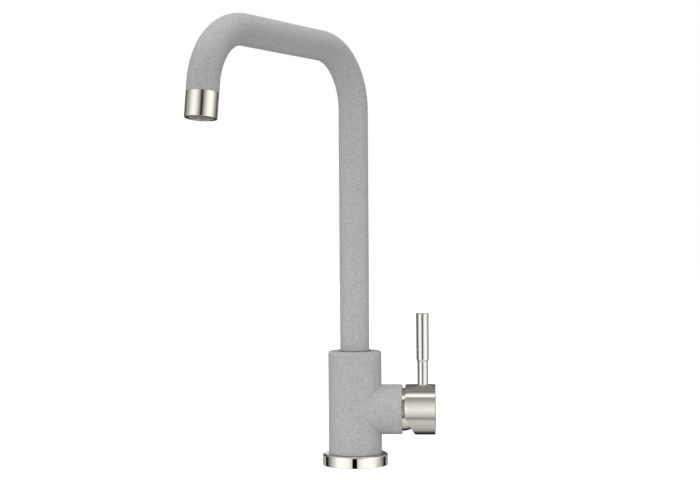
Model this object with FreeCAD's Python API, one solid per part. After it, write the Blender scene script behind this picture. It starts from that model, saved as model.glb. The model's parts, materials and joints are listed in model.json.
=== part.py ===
import FreeCAD, Part
import math
import os

# Tall side-lever kitchen mixer tap, built as separate pieces. All sizes are in millimetres.
# The origin is the centre of the base on the worktop, +Z is up, and the branch with the lever
# points along +X. The lever stands upright, which is its closed place, half way from hot to cold.

VEC = FreeCAD.Vector
UP = VEC(0, 0, 1)
OUT = VEC(1, 0, 0)
ACROSS = VEC(0, 1, 0)

# Base ring and its seal
base_diameter = 55.0
base_height = 9.7
base_edge_radius = 1.5
base_foot_radius = 0.4
seal_width = 3.6
seal_depth = 1.6

# Body column
body_diameter = 45.0
body_height = 96.0
body_edge_radius = 2.0
foot_step = 2.5
foot_recess = 1.0

# Threads and waterways in the underside of the body
inlet_thread_diameter = 10.0
inlet_thread_depth = 13.0
inlet_spacing = 19.0
stud_thread_diameter = 8.0
stud_thread_depth = 12.0
stud_offset = 9.0
waterway_diameter = 7.0
waterway_wall = 2.4
mixed_waterway_diameter = 8.0
mixed_waterway_wall = 2.6

# Branch that holds the cartridge; distances out from its end face are positive
branch_reach = 39.9
branch_wall = 3.1
branch_edge_radius = 0.8
chamber_clearance = 0.2
socket_floor_wall = 2.8
nut_thread_step = 0.3

# Lever travel: tilt from closed to open
lever_travel_deg = 25.0

# Cartridge
cartridge_diameter = 35.0
cartridge_wall = 1.9
housing_top_wall = 2.0
cartridge_base_height = 5.0
cartridge_base_flange = 3.0
inlet_port_spread = 6.5
inlet_port_rise = 4.5
outlet_port_drop = 4.5
port_diameter = 5.6
seal_wall = 1.5
fixed_disc_margin = 1.6
fixed_disc_height = 4.5
disc_face_gap = 0.02
moving_disc_margin = 0.76
moving_disc_height = 4.0
mixing_pocket_width = 17.0
mixing_pocket_length = 11.5
mixing_pocket_depth = 2.4
mixing_pocket_corner = 4.0
carrier_floor = 1.0
carrier_plate_height = 2.9
carrier_block_width = 14.0
carrier_block_length = 16.0
carrier_edge_radius = 1.0
ball_radius = 3.0
ball_clearance = 0.5
ball_cover = 2.6
spindle_inner_arm = 13.0
spindle_neck_diameter = 4.0
spindle_neck_gap = 2.4
spindle_width = 8.0
spindle_edge_radius = 0.5
spindle_reach = 24.5
rotor_plate_height = 3.0
rotor_neck_diameter = 20.4
rotor_neck_reach = 4.0
rotor_edge_radius = 0.6
rotor_rail_width = 2.0
pivot_pin_diameter = 3.0
pivot_pin_end_gap = 0.5

# Nut that clamps the cartridge, and the dome over it
nut_bore_clearance = 0.6
nut_thread_recess = 0.4
nut_collar_margin = 1.3
nut_collar_reach = 3.4
nut_slot_width = 4.0
nut_slot_depth = 2.0
nut_slot_count = 4
nut_slot_start_deg = 45.0
dome_lip = 0.2
dome_wall = 1.3
dome_reach = 9.4

# Handle drum
handle_dome_gap = 0.8
handle_wall = 2.3
handle_gap = 2.6
handle_length = 25.4
handle_edge_radius = 0.8
handle_rim_radius = 0.5
handle_open_clearance = 0.45
handle_relief_margin_deg = 2.0
handle_solid_length = 9.0
handle_boss_diameter = 15.0
handle_boss_reach = 6.0
socket_clearance = 0.05
rod_boss_diameter = 11.0
plug_depth = 2.6
plug_inset = 0.2
handle_screw_diameter = 5.0
handle_screw_length = 10.0

# Lever rod, measured up from the branch axis
rod_offset = 17.3
rod_top = 81.4
rod_diameter = 10.55
rod_edge_radius = 1.0
rod_step_top = 42.1
rod_step_bottom = 40.2
rod_neck_diameter = 9.0
rod_spot_face_depth = 1.0
rod_spot_face_margin = 0.35
rod_stud_diameter = 6.0
rod_stud_length = 11.0
rod_stud_edge_radius = 0.4
rod_stud_end_gap = 1.0

# Spout: heights above the worktop, reach in plan to the corner of arm and outlet
spout_azimuth_deg = 241.5
spout_diameter = 24.6
spout_wall = 1.5
spout_corner_height = 348.0
spout_corner_reach = 200.0
spout_bend_radius = 50.0
arm_rise_deg = 1.0
outlet_lean_deg = 7.0
outlet_straight = 7.0

# Spout socket in the body, the upper bearing in its mouth and the turning shank in it
socket_mouth_chamfer = 0.5
tube_insertion = 9.0
shank_clearance = 0.3
shank_end_gap = 1.0
shank_bore = 15.0
shank_spigot_length = 11.0
shank_edge_radius = 0.5
shank_collar = 2.0
groove_clearance = 0.1
ring_running_fit = 0.08
slide_ring_height = 3.0
slide_ring_depth = 1.8
o_ring_section = 2.1
o_ring_count = 2
shank_land = 1.5
screw_groove_depth = 1.8
screw_groove_width = 3.8
spout_screw_diameter = 5.0
spout_screw_tip_diameter = 3.0
spout_screw_tip_gap = 0.3
spout_screw_shoulder = 0.5
spout_screw_inset = 1.0
upper_bearing_wall = 1.12
upper_bearing_height = 6.5
upper_bearing_recess = 1.5

# Outlet: threaded bush in the tube and the aerator screwed on it
outlet_thread_diameter = 22.0
outlet_thread_length = 6.5
outlet_thread_edge_radius = 0.5
outlet_bush_bend_gap = 1.0
outlet_bush_bore = 16.0
aerator_length = 19.4
aerator_wall = 1.25
aerator_edge_radius = 0.4
aerator_rim_radius = 0.3
aerator_lip_opening = 18.6
washer_height = 1.6
washer_bore = 16.4
screen_height = 0.6
screen_rim_gap = 0.1
screen_hole_diameter = 1.6
screen_ring_pitch = 2.4
screen_ring_count = 2
insert_flange_height = 1.4
insert_wall = 1.2
insert_recess = 0.4
insert_jet_count = 10
insert_jet_ring = 12.8
insert_jet_diameter = 1.2
insert_web = 0.8
insert_web_count = 5
insert_web_depth = 3.0
insert_web_recess = 0.4

# Running fits, gaps and the hexagon sockets of the two grub screws
running_fit = 0.05
running_gap = 0.35
screw_socket_share = 0.5
screw_socket_depth = 2.5
screw_point_chamfer = 0.5

# How far a cutter runs past the face that it opens, or a joined piece into its neighbour
over = 1.0

# Points nearer to each other than this are one point
coincident = 1e-6

# Lever travel as an angle, and the disc's travel on the ball of the spindle
travel = math.radians(lever_travel_deg)
disc_travel = spindle_inner_arm * travel
disc_offset = disc_travel / 2

# Derived radii, from the pieces outwards
base_radius = base_diameter / 2
body_radius = body_diameter / 2
foot_radius = body_radius - foot_step
housing_radius = cartridge_diameter / 2
housing_bore_radius = housing_radius - cartridge_wall
fixed_disc_radius = housing_bore_radius - fixed_disc_margin
moving_disc_radius = housing_bore_radius - disc_offset - moving_disc_margin
rotor_neck_radius = rotor_neck_diameter / 2
chamber_radius = housing_radius + chamber_clearance
mouth_radius = chamber_radius + nut_thread_step
branch_radius = mouth_radius + branch_wall
dome_radius = mouth_radius + dome_lip
dome_inner_radius = dome_radius - dome_wall
nut_collar_radius = dome_inner_radius - nut_collar_margin
handle_bore_radius = dome_radius + handle_dome_gap
handle_radius = handle_bore_radius + handle_wall
tube_radius = spout_diameter / 2
tube_bore_radius = tube_radius - spout_wall
socket_radius = tube_radius + ring_running_fit + upper_bearing_wall
shank_radius = socket_radius - shank_clearance
outlet_thread_radius = outlet_thread_diameter / 2
aerator_radius = outlet_thread_radius + aerator_wall

# The spout's socket is as deep as what stands in it, and the branch's chamber lies under its floor
o_ring_stack = o_ring_section * o_ring_count + shank_land * (o_ring_count - 1)
shank_length = shank_land + slide_ring_height + shank_land + o_ring_stack + shank_land \
    + screw_groove_width + shank_collar
socket_depth = tube_insertion + shank_length + shank_end_gap
branch_height = body_height - socket_depth - socket_floor_wall - chamber_radius

# Stations along the branch, out from the lever's pivot in the middle of the branch's end face
ball_station = -spindle_inner_arm
carrier_top = ball_station + ball_cover
carrier_bottom = ball_station - ball_radius - ball_clearance - carrier_floor
moving_disc_bottom = carrier_bottom - moving_disc_height
fixed_disc_top = moving_disc_bottom - disc_face_gap
fixed_disc_bottom = fixed_disc_top - fixed_disc_height
chamber_floor = fixed_disc_bottom - cartridge_base_height
rotor_bottom = carrier_top + running_gap
rotor_plate_top = rotor_bottom + rotor_plate_height
housing_inner_top = rotor_plate_top + running_fit
housing_top = housing_inner_top + housing_top_wall

# Stations up the spout's socket
socket_floor = body_height - socket_depth
shank_bottom = socket_floor + shank_end_gap
tube_bottom = body_height - tube_insertion
slide_ring_bottom = shank_bottom + shank_land
first_o_ring = slide_ring_bottom + slide_ring_height + shank_land + o_ring_section / 2
o_ring_pitch = o_ring_section + shank_land
screw_height = tube_bottom - shank_collar - screw_groove_width / 2

# Waterways: the two inlets rise beside the chamber's floor, the mixed water behind them
floor_x = branch_reach + chamber_floor
inlet_x = floor_x - waterway_wall - waterway_diameter / 2
mixed_x = inlet_x - waterway_diameter / 2 - mixed_waterway_wall - mixed_waterway_diameter / 2


def polar(radius, angle):
    """Point (u, v) at an angle in radians."""
    return radius * math.cos(angle), radius * math.sin(angle)


def rounded_outline(corners, place):
    """Face bounded by straight edges through corners (u, v, radius), each rounded by its radius."""
    count = len(corners)
    starts = []
    ends = []
    arcs = []
    for i in range(count):
        u, v, radius = corners[i]
        here = VEC(u, v, 0)
        before = VEC(corners[i - 1][0], corners[i - 1][1], 0) - here
        after = VEC(corners[(i + 1) % count][0], corners[(i + 1) % count][1], 0) - here
        before.normalize()
        after.normalize()
        if radius <= 0:
            starts.append(here)
            ends.append(here)
            arcs.append(None)
            continue
        half = before.getAngle(after) / 2
        middle = before + after
        middle.normalize()
        setback = radius / math.tan(half)
        starts.append(here + before * setback)
        ends.append(here + after * setback)
        arcs.append(here + middle * (radius / math.sin(half) - radius))
    edges = []
    for i in range(count):
        if arcs[i] is not None:
            arc = Part.Arc(place(starts[i]), place(arcs[i]), place(ends[i]))
            edges.append(arc.toShape())
        following = starts[(i + 1) % count]
        if (following - ends[i]).Length > coincident:
            edges.append(Part.LineSegment(place(ends[i]), place(following)).toShape())
    return Part.Face(Part.Wire(edges))


def turned(corners, origin, axis, side):
    """Solid turned about an axis from corners (along, radius, rounding)."""
    face = rounded_outline(corners, lambda p: origin + axis * p.x + side * p.y)
    return face.revolve(origin, axis, 360)


def turned_up(corners):
    """Solid turned about the body's upright axis."""
    return turned(corners, VEC(0, 0, 0), UP, OUT)


PIVOT = VEC(branch_reach, 0, branch_height)


def turned_branch(corners):
    """Solid turned about the branch's axis, with stations out from its end face."""
    return turned(corners, PIVOT, OUT, UP)


def drilled(start, direction, radius, length):
    """Cylinder for a drilled hole or a pin."""
    return Part.makeCylinder(radius, length, start, direction)


def slab(corners, width):
    """Prism across the branch, from corners (station, height over the branch axis, rounding)."""
    start = PIVOT - ACROSS * (width / 2)
    face = rounded_outline(corners, lambda p: start + OUT * p.x + UP * p.y)
    return face.extrude(ACROSS * width)


def branch_prism(corners, low, high):
    """Prism along the branch, from corners (across, height, rounding) between two stations."""
    start = PIVOT + OUT * low
    face = rounded_outline(corners, lambda p: start + ACROSS * p.x + UP * p.y)
    return face.extrude(OUT * (high - low))


def rectangle(width, low, high, rounding=0.0):
    """Corners of an upright rectangle centred across."""
    half = width / 2
    return [
        (-half, low, rounding),
        (half, low, rounding),
        (half, high, rounding),
        (-half, high, rounding),
    ]


def hexagon_socket(mouth, axis, side, screw_radius):
    """Cutter for the hexagon socket in a grub screw, from the screw's outer end inwards."""
    other = axis.cross(side)
    floor = mouth - axis * screw_socket_depth
    points = []
    for i in range(7):
        u, v = polar(screw_radius * screw_socket_share, math.radians(60 * i))
        points.append(floor + side * u + other * v)
    hexagon = Part.Face(Part.makePolygon(points))
    return hexagon.extrude(axis * (screw_socket_depth + over))


def base_ring():
    """Bright ring that carries the body, with a groove for the seal below."""
    ring = turned_up([
        (0, foot_radius, 0),
        (0, base_radius, base_foot_radius),
        (base_height, base_radius, base_edge_radius),
        (base_height, foot_radius, 0),
    ])
    return ring.cut(base_seal())


def base_seal():
    """Rubber ring in the groove, in the middle of the ring's foot and flush with the worktop."""
    middle = (foot_radius + base_radius) / 2
    inner = middle - seal_width / 2
    outer = middle + seal_width / 2
    return turned_up([
        (0, inner, 0),
        (0, outer, 0),
        (seal_depth, outer, 0),
        (seal_depth, inner, 0),
    ])


def inlet_positions():
    """The two inlet threads in the underside, hot and cold."""
    return [VEC(inlet_x, side * inlet_spacing / 2, foot_recess) for side in (-1, 1)]


def body_waterways():
    """Threads and drillings that are cut from the body, as one list of solids."""
    cuts = []
    radius = waterway_diameter / 2
    port_height = branch_height + inlet_port_rise
    for position in inlet_positions():
        cuts.append(drilled(position, UP, inlet_thread_diameter / 2, inlet_thread_depth))
        cuts.append(drilled(position, UP, radius, port_height + radius - foot_recess))
    for side in (-1, 1):
        start = VEC(inlet_x, side * inlet_port_spread, port_height)
        cuts.append(drilled(start, OUT, radius, floor_x - inlet_x))
    mixed_height = branch_height - outlet_port_drop
    mixed_radius = mixed_waterway_diameter / 2
    cuts.append(drilled(VEC(mixed_x, 0, mixed_height), OUT, radius, floor_x - mixed_x))
    cuts.append(drilled(VEC(mixed_x, 0, mixed_height - radius), UP, mixed_radius,
                        socket_floor - mixed_height + radius))
    stud_start = VEC(-stud_offset, 0, foot_recess)
    cuts.append(drilled(stud_start, UP, stud_thread_diameter / 2, stud_thread_depth))
    return cuts


def mixer_body():
    """Cast T-shaped body: upright column, side branch, spout socket, cartridge chamber, waterways."""
    column = turned_up([
        (foot_recess, 0, 0),
        (foot_recess, foot_radius, 0),
        (base_height, foot_radius, 0),
        (base_height, body_radius, 0),
        (body_height, body_radius, body_edge_radius),
        (body_height, 0, 0),
    ])
    branch = turned_branch([
        (-branch_reach, 0, 0),
        (-branch_reach, branch_radius, 0),
        (0, branch_radius, branch_edge_radius),
        (0, 0, 0),
    ])
    socket = turned_up([
        (socket_floor, 0, 0),
        (socket_floor, socket_radius, 0),
        (body_height - socket_mouth_chamfer, socket_radius, 0),
        (body_height, socket_radius + socket_mouth_chamfer, 0),
        (body_height, 0, 0),
    ])
    chamber = turned_branch([
        (chamber_floor, 0, 0),
        (chamber_floor, chamber_radius, 0),
        (housing_top, chamber_radius, 0),
        (housing_top, mouth_radius, 0),
        (0, mouth_radius, 0),
        (0, 0, 0),
    ])
    screw_hole = drilled(VEC(0, socket_radius - over, screw_height), ACROSS, spout_screw_diameter / 2,
                         body_radius - socket_radius + 2 * over)
    return column.fuse(branch).cut([socket, chamber, screw_hole] + body_waterways())


def upper_bearing():
    """Plastic ring that guides the tube in the mouth of the socket."""
    top = body_height - upper_bearing_recess
    return turned_up([
        (top - upper_bearing_height, tube_radius + ring_running_fit, 0),
        (top - upper_bearing_height, socket_radius, 0),
        (top, socket_radius, 0),
        (top, tube_radius + ring_running_fit, 0),
    ])


def spout_set_screw():
    """Grub screw behind the body, whose tip keeps the shank down and lets it turn."""
    tip_start = shank_radius - screw_groove_depth + spout_screw_tip_gap
    shoulder = socket_radius + spout_screw_shoulder
    end = body_radius - spout_screw_inset
    screw_radius = spout_screw_diameter / 2
    tip_radius = spout_screw_tip_diameter / 2
    axis_start = UP * screw_height
    screw = turned([
        (tip_start, 0, 0),
        (tip_start, tip_radius, 0),
        (shoulder, tip_radius, 0),
        (shoulder, screw_radius, 0),
        (end, screw_radius, 0),
        (end, 0, 0),
    ], axis_start, ACROSS, OUT)
    return screw.cut(hexagon_socket(axis_start + ACROSS * end, ACROSS, OUT, screw_radius))


def port_points():
    """Ports of the cartridge: two inlets side by side, the mixed outlet below them."""
    return [
        (-inlet_port_spread, inlet_port_rise),
        (inlet_port_spread, inlet_port_rise),
        (0, -outlet_port_drop),
    ]


def through_ports(radius, low, high):
    """Cylinders along the branch at the three ports."""
    return [
        drilled(PIVOT + OUT * low + ACROSS * across + UP * height, OUT, radius, high - low)
        for across, height in port_points()
    ]


def cartridge_base():
    """Plastic foot of the cartridge with the three port openings."""
    foot = turned_branch([
        (chamber_floor, 0, 0),
        (chamber_floor, housing_radius, 0),
        (chamber_floor + cartridge_base_flange, housing_radius, 0),
        (chamber_floor + cartridge_base_flange, housing_bore_radius, 0),
        (fixed_disc_bottom, housing_bore_radius, 0),
        (fixed_disc_bottom, 0, 0),
    ])
    return foot.cut(through_ports(port_diameter / 2 + seal_wall, chamber_floor, fixed_disc_bottom))


def port_seals():
    """Three rubber sleeves between the body's ports and the fixed disc."""
    seals = []
    outer = through_ports(port_diameter / 2 + seal_wall, chamber_floor, fixed_disc_bottom)
    inner = through_ports(port_diameter / 2, chamber_floor, fixed_disc_bottom)
    for sleeve, hole in zip(outer, inner):
        seals.append(sleeve.cut(hole))
    return Part.makeCompound(seals)


def fixed_disc():
    """Ceramic disc that stays still, with the three ports."""
    disc = turned_branch([
        (fixed_disc_bottom, 0, 0),
        (fixed_disc_bottom, fixed_disc_radius, 0),
        (fixed_disc_top, fixed_disc_radius, 0),
        (fixed_disc_top, 0, 0),
    ])
    return disc.cut(through_ports(port_diameter / 2, fixed_disc_bottom, fixed_disc_top))


def moving_disc():
    """Ceramic disc that slides over the fixed one; its pocket joins the ports when the lever opens."""
    centre = PIVOT - UP * disc_offset + OUT * moving_disc_bottom
    disc = drilled(centre, OUT, moving_disc_radius, moving_disc_height)
    pocket = branch_prism(
        rectangle(mixing_pocket_width, -mixing_pocket_length, 0, mixing_pocket_corner),
        moving_disc_bottom, moving_disc_bottom + mixing_pocket_depth)
    return disc.cut(pocket)


def disc_carrier():
    """Plastic slider on the moving disc, with a socket for the ball of the spindle."""
    centre = PIVOT - UP * disc_offset + OUT * carrier_bottom
    plate = drilled(centre, OUT, moving_disc_radius, carrier_plate_height)
    half = carrier_block_length / 2
    block = branch_prism(
        rectangle(carrier_block_width, -disc_offset - half, -disc_offset + half, carrier_edge_radius),
        carrier_bottom, carrier_top)
    hole = drilled(PIVOT + OUT * (carrier_bottom + carrier_floor), OUT, ball_radius + ball_clearance,
                   carrier_top - carrier_bottom)
    return plate.fuse(block).cut(hole)


def cartridge_housing():
    """Plastic can of the cartridge, open towards its base, with a hole for the rotor's neck."""
    low = chamber_floor + cartridge_base_flange
    hole = rotor_neck_radius + running_fit
    return turned_branch([
        (low, housing_bore_radius, 0),
        (low, housing_radius, 0),
        (housing_top, housing_radius, 0),
        (housing_top, hole, 0),
        (housing_inner_top, hole, 0),
        (housing_inner_top, housing_bore_radius, 0),
    ])


def spindle_slot():
    """Space in which the spindle tilts inside the rotor, as a prism across the branch."""
    half = spindle_width / 2 + running_gap
    slant = half / math.cos(travel)
    high = rotor_neck_reach + over
    low = carrier_top - over
    lean = math.tan(travel)
    knee = (slant - half) / lean
    corners = [
        (low, -half, 0),
        (-knee, -half, 0),
        (high, -slant - high * lean, 0),
        (high, half, 0),
        (knee, half, 0),
        (low, slant - low * lean, 0),
    ]
    return slab(corners, spindle_width + 2 * running_gap)


def cartridge_rotor():
    """Plastic turning piece that carries the lever's pivot pin and guides the disc carrier."""
    plate_radius = housing_bore_radius - running_gap
    rotor = turned_branch([
        (rotor_bottom, 0, 0),
        (rotor_bottom, plate_radius, 0),
        (rotor_plate_top, plate_radius, 0),
        (rotor_plate_top, rotor_neck_radius, 0),
        (rotor_neck_reach, rotor_neck_radius, rotor_edge_radius),
        (rotor_neck_reach, 0, 0),
    ])
    rail_low = carrier_bottom + carrier_plate_height + running_gap
    rail_inner = carrier_block_width / 2 + running_gap
    rail_outer = rail_inner + rotor_rail_width
    rail_half = math.sqrt(plate_radius ** 2 - rail_outer ** 2)
    for side in (-1, 1):
        rail = branch_prism([
            (side * rail_inner, -rail_half, 0),
            (side * rail_outer, -rail_half, 0),
            (side * rail_outer, rail_half, 0),
            (side * rail_inner, rail_half, 0),
        ], rail_low, rotor_bottom + over)
        rotor = rotor.fuse(rail)
    return rotor.cut([spindle_slot(), spindle_pin()])


def spindle_pin():
    """Steel pin across the rotor's neck, on which the lever tilts."""
    chord = 2 * math.sqrt(rotor_neck_radius ** 2 - (pivot_pin_diameter / 2) ** 2)
    length = chord - 2 * pivot_pin_end_gap
    start = PIVOT - ACROSS * (length / 2)
    return drilled(start, ACROSS, pivot_pin_diameter / 2, length)


def cartridge_spindle():
    """Square metal spindle with a ball at its inner end and a hole for the pivot pin."""
    half = spindle_width / 2
    neck_end = carrier_top + spindle_neck_gap
    square = rectangle(spindle_width, -half, half, spindle_edge_radius)
    bar = branch_prism(square, neck_end, spindle_reach)
    neck = drilled(PIVOT + OUT * ball_station, OUT, spindle_neck_diameter / 2,
                   neck_end - ball_station + over)
    ball = Part.makeSphere(ball_radius, PIVOT + OUT * ball_station)
    bore = drilled(PIVOT - ACROSS * spindle_width, ACROSS, pivot_pin_diameter / 2 + running_fit,
                   2 * spindle_width)
    return bar.fuse([neck, ball]).cut(bore)


def cartridge_nut():
    """Brass ring nut that clamps the cartridge, with slots for its key in the collar."""
    bore = rotor_neck_radius + nut_bore_clearance
    nut = turned_branch([
        (housing_top, bore, 0),
        (housing_top, mouth_radius, 0),
        (-nut_thread_recess, mouth_radius, 0),
        (-nut_thread_recess, nut_collar_radius, 0),
        (nut_collar_reach, nut_collar_radius, 0),
        (nut_collar_reach, bore, 0),
    ])
    half = nut_slot_width / 2
    slot = branch_prism([
        (-half, bore - over, 0),
        (half, bore - over, 0),
        (half, nut_collar_radius + over, 0),
        (-half, nut_collar_radius + over, 0),
    ], nut_collar_reach - nut_slot_depth, nut_collar_reach + over)
    slots = []
    for i in range(nut_slot_count):
        copy = slot.copy()
        copy.rotate(PIVOT, OUT, nut_slot_start_deg + 360 * i / nut_slot_count)
        slots.append(copy)
    return nut.cut(slots)


def dome_cover():
    """Bright ball-shaped cover on the nut's collar, open in the middle for the spindle."""
    inner_start = math.sqrt(dome_inner_radius ** 2 - nut_collar_radius ** 2)
    outer_end = math.sqrt(dome_radius ** 2 - dome_reach ** 2)
    inner_end = math.sqrt(dome_inner_radius ** 2 - dome_reach ** 2)

    def at(station, radius):
        return PIVOT + OUT * station + UP * radius

    def ball_arc(radius, from_station, to_station):
        middle = (from_station + to_station) / 2
        points = [at(s, math.sqrt(radius ** 2 - s ** 2)) for s in (from_station, middle, to_station)]
        return Part.Arc(points[0], points[1], points[2]).toShape()

    edges = [
        Part.LineSegment(at(0, nut_collar_radius), at(0, dome_radius)).toShape(),
        ball_arc(dome_radius, 0, dome_reach),
        Part.LineSegment(at(dome_reach, outer_end), at(dome_reach, inner_end)).toShape(),
        ball_arc(dome_inner_radius, dome_reach, inner_start),
        Part.LineSegment(at(inner_start, nut_collar_radius), at(0, nut_collar_radius)).toShape(),
    ]
    return Part.Face(Part.Wire(edges)).revolve(PIVOT, OUT, 360)


def handle_cap():
    """Bright drum of the lever: open bore over the dome, solid end with the spindle's socket."""
    end = handle_gap + handle_length
    solid_start = end - handle_solid_length
    boss_start = solid_start - handle_boss_reach
    boss_radius = handle_boss_diameter / 2
    drum = turned_branch([
        (boss_start, 0, 0),
        (boss_start, boss_radius, 0),
        (solid_start, boss_radius, 0),
        (solid_start, handle_bore_radius, 0),
        (handle_gap, handle_bore_radius, 0),
        (handle_gap, handle_radius, handle_rim_radius),
        (end, handle_radius, handle_edge_radius),
        (end, 0, 0),
    ])
    rod_boss = drilled(PIVOT + OUT * rod_offset + UP * (boss_radius - 2 * over), UP,
                       rod_boss_diameter / 2, handle_bore_radius - boss_radius + 3 * over)
    drum = drum.fuse(rod_boss)
    socket_half = spindle_width / 2 + socket_clearance
    square = rectangle(2 * socket_half, -socket_half, socket_half, spindle_edge_radius)
    socket = branch_prism(square, boss_start - over, spindle_reach)
    screw_mouth = PIVOT + OUT * screw_station() - UP * (handle_radius + over)
    screw = drilled(screw_mouth, UP, handle_screw_diameter / 2, handle_radius + over)
    return drum.cut([relief_cut(), socket, screw] + rod_hole())


def relief_cut():
    """Slanted cut at the drum's lower inner edge, which lets the lever tilt past the branch."""
    angle = travel + math.radians(handle_relief_margin_deg)
    start_height = (handle_gap * math.cos(travel) - handle_open_clearance) / math.sin(travel)
    reach = 3 * handle_radius
    corners = [
        (handle_gap, -start_height, 0),
        (handle_gap + reach * math.sin(angle), -start_height - reach * math.cos(angle), 0),
        (handle_gap - reach, -start_height - reach * math.cos(angle), 0),
        (handle_gap - reach, -start_height, 0),
    ]
    return slab(corners, reach)


def screw_station():
    """Station of the handle's grub screw, in the middle of the drum's solid end over the spindle."""
    solid_start = handle_gap + handle_length - handle_solid_length
    return (solid_start + spindle_reach) / 2


def rod_hole():
    """Tapped hole and spot face for the rod in the top of the drum."""
    seat = handle_radius - rod_spot_face_depth
    bottom = seat - rod_stud_length - rod_stud_end_gap
    base = PIVOT + OUT * rod_offset
    hole = drilled(base + UP * bottom, UP, rod_stud_diameter / 2, handle_radius - bottom + over)
    spot_radius = rod_neck_diameter / 2 + rod_spot_face_margin
    face = drilled(base + UP * seat, UP, spot_radius, rod_spot_face_depth + over)
    return [hole, face]


def handle_rod():
    """Stepped bright rod, screwed into the drum."""
    seat = handle_radius - rod_spot_face_depth
    neck = rod_neck_diameter / 2
    thick = rod_diameter / 2
    return turned([
        (seat - rod_stud_length, 0, 0),
        (seat - rod_stud_length, rod_stud_diameter / 2, rod_stud_edge_radius),
        (seat, rod_stud_diameter / 2, 0),
        (seat, neck, 0),
        (rod_step_bottom, neck, 0),
        (rod_step_top, thick, 0),
        (rod_top, thick, rod_edge_radius),
        (rod_top, 0, 0),
    ], PIVOT + OUT * rod_offset, UP, OUT)


def handle_set_screw():
    """Grub screw from below that clamps the drum on the spindle."""
    tip = PIVOT + OUT * screw_station() - UP * (spindle_width / 2)
    radius = handle_screw_diameter / 2
    screw = turned([
        (0, 0, 0),
        (0, radius - screw_point_chamfer, 0),
        (screw_point_chamfer, radius, 0),
        (handle_screw_length, radius, 0),
        (handle_screw_length, 0, 0),
    ], tip, UP * -1, OUT)
    return screw.cut(hexagon_socket(tip - UP * handle_screw_length, UP * -1, OUT, radius))


def handle_plug():
    """Small plug that closes the screw's hole, flush with the drum."""
    start = PIVOT + OUT * screw_station() - UP * (handle_radius - plug_inset)
    return drilled(start, UP, handle_screw_diameter / 2, plug_depth)


def spout_path():
    """Centre line of the spout: riser, bend, arm, bend and outlet. Also the outlet's end and direction."""
    azimuth = math.radians(spout_azimuth_deg)
    away = VEC(math.cos(azimuth), math.sin(azimuth), 0)
    rise = math.radians(arm_rise_deg)
    lean = math.radians(outlet_lean_deg)
    arm = away * math.cos(rise) + UP * math.sin(rise)
    outlet = away * math.sin(lean) - UP * math.cos(lean)
    first_corner = UP * spout_corner_height
    second_corner = first_corner + arm * (spout_corner_reach / math.cos(rise))
    start = UP * tube_bottom
    edges = []
    here = start
    for corner, into, out_of in ((first_corner, UP, arm), (second_corner, arm, outlet)):
        half = (math.pi - into.getAngle(out_of)) / 2
        setback = spout_bend_radius / math.tan(half)
        bend_start = corner - into * setback
        bend_end = corner + out_of * setback
        inward = out_of - into
        inward.normalize()
        bend_middle = corner + inward * (spout_bend_radius / math.sin(half) - spout_bend_radius)
        edges.append(Part.LineSegment(here, bend_start).toShape())
        edges.append(Part.Arc(bend_start, bend_middle, bend_end).toShape())
        here = bend_end
    end = here + outlet * outlet_straight
    edges.append(Part.LineSegment(here, end).toShape())
    return Part.Wire(edges), end, outlet


def spout_tube():
    """Bent tube with one bore."""
    path = spout_path()[0]
    solids = []
    for radius in (tube_radius, tube_bore_radius):
        circle = Part.Wire([Part.makeCircle(radius, UP * tube_bottom, UP)])
        solids.append(path.makePipeShell([circle], True, False))
    return solids[0].cut(solids[1])


def shank_groove(low, high, depth):
    """Ring cut into the shank between two heights."""
    return turned_up([
        (low, shank_radius - depth, 0),
        (low, shank_radius + over, 0),
        (high, shank_radius + over, 0),
        (high, shank_radius - depth, 0),
    ])


def o_ring_depth():
    """Depth of the grooves in which the O-rings sit."""
    return shank_radius - (socket_radius - groove_clearance - o_ring_section)


def spout_shank():
    """Turned fitting in the tube's lower end, with grooves for rings and for the screw's tip."""
    bore = shank_bore / 2
    shank = turned_up([
        (shank_bottom, bore, 0),
        (shank_bottom, shank_radius, shank_edge_radius),
        (tube_bottom, shank_radius, 0),
        (tube_bottom, tube_bore_radius, 0),
        (tube_bottom + shank_spigot_length, tube_bore_radius, 0),
        (tube_bottom + shank_spigot_length, bore, 0),
    ])
    half = o_ring_section / 2
    cuts = [shank_groove(slide_ring_bottom, slide_ring_bottom + slide_ring_height, slide_ring_depth)]
    for i in range(o_ring_count):
        height = first_o_ring + i * o_ring_pitch
        cuts.append(shank_groove(height - half, height + half, o_ring_depth()))
    cuts.append(shank_groove(screw_height - screw_groove_width / 2, screw_height + screw_groove_width / 2,
                             screw_groove_depth))
    return shank.cut(cuts)


def lower_bearing():
    """Plastic slide ring near the shank's lower end."""
    return turned_up([
        (slide_ring_bottom, shank_radius - slide_ring_depth, 0),
        (slide_ring_bottom, socket_radius - ring_running_fit, 0),
        (slide_ring_bottom + slide_ring_height, socket_radius - ring_running_fit, 0),
        (slide_ring_bottom + slide_ring_height, shank_radius - slide_ring_depth, 0),
    ])


def spout_o_rings():
    """Rubber rings that seal the shank in the socket."""
    rings = []
    half = o_ring_section / 2
    for i in range(o_ring_count):
        centre = UP * (first_o_ring + i * o_ring_pitch)
        rings.append(Part.makeTorus(socket_radius - groove_clearance - half, half, centre, UP))
    return Part.makeCompound(rings)


def outlet_frame():
    """End of the tube, direction of the outlet, and two directions across it."""
    end, direction = spout_path()[1:]
    azimuth = math.radians(spout_azimuth_deg + 90)
    side = VEC(math.cos(azimuth), math.sin(azimuth), 0)
    return end, direction, side, direction.cross(side)


def outlet_turned(corners):
    """Solid turned about the outlet's axis, with distances down from the tube's end."""
    end, direction, side, other = outlet_frame()
    return turned(corners, end, direction, side)


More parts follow.
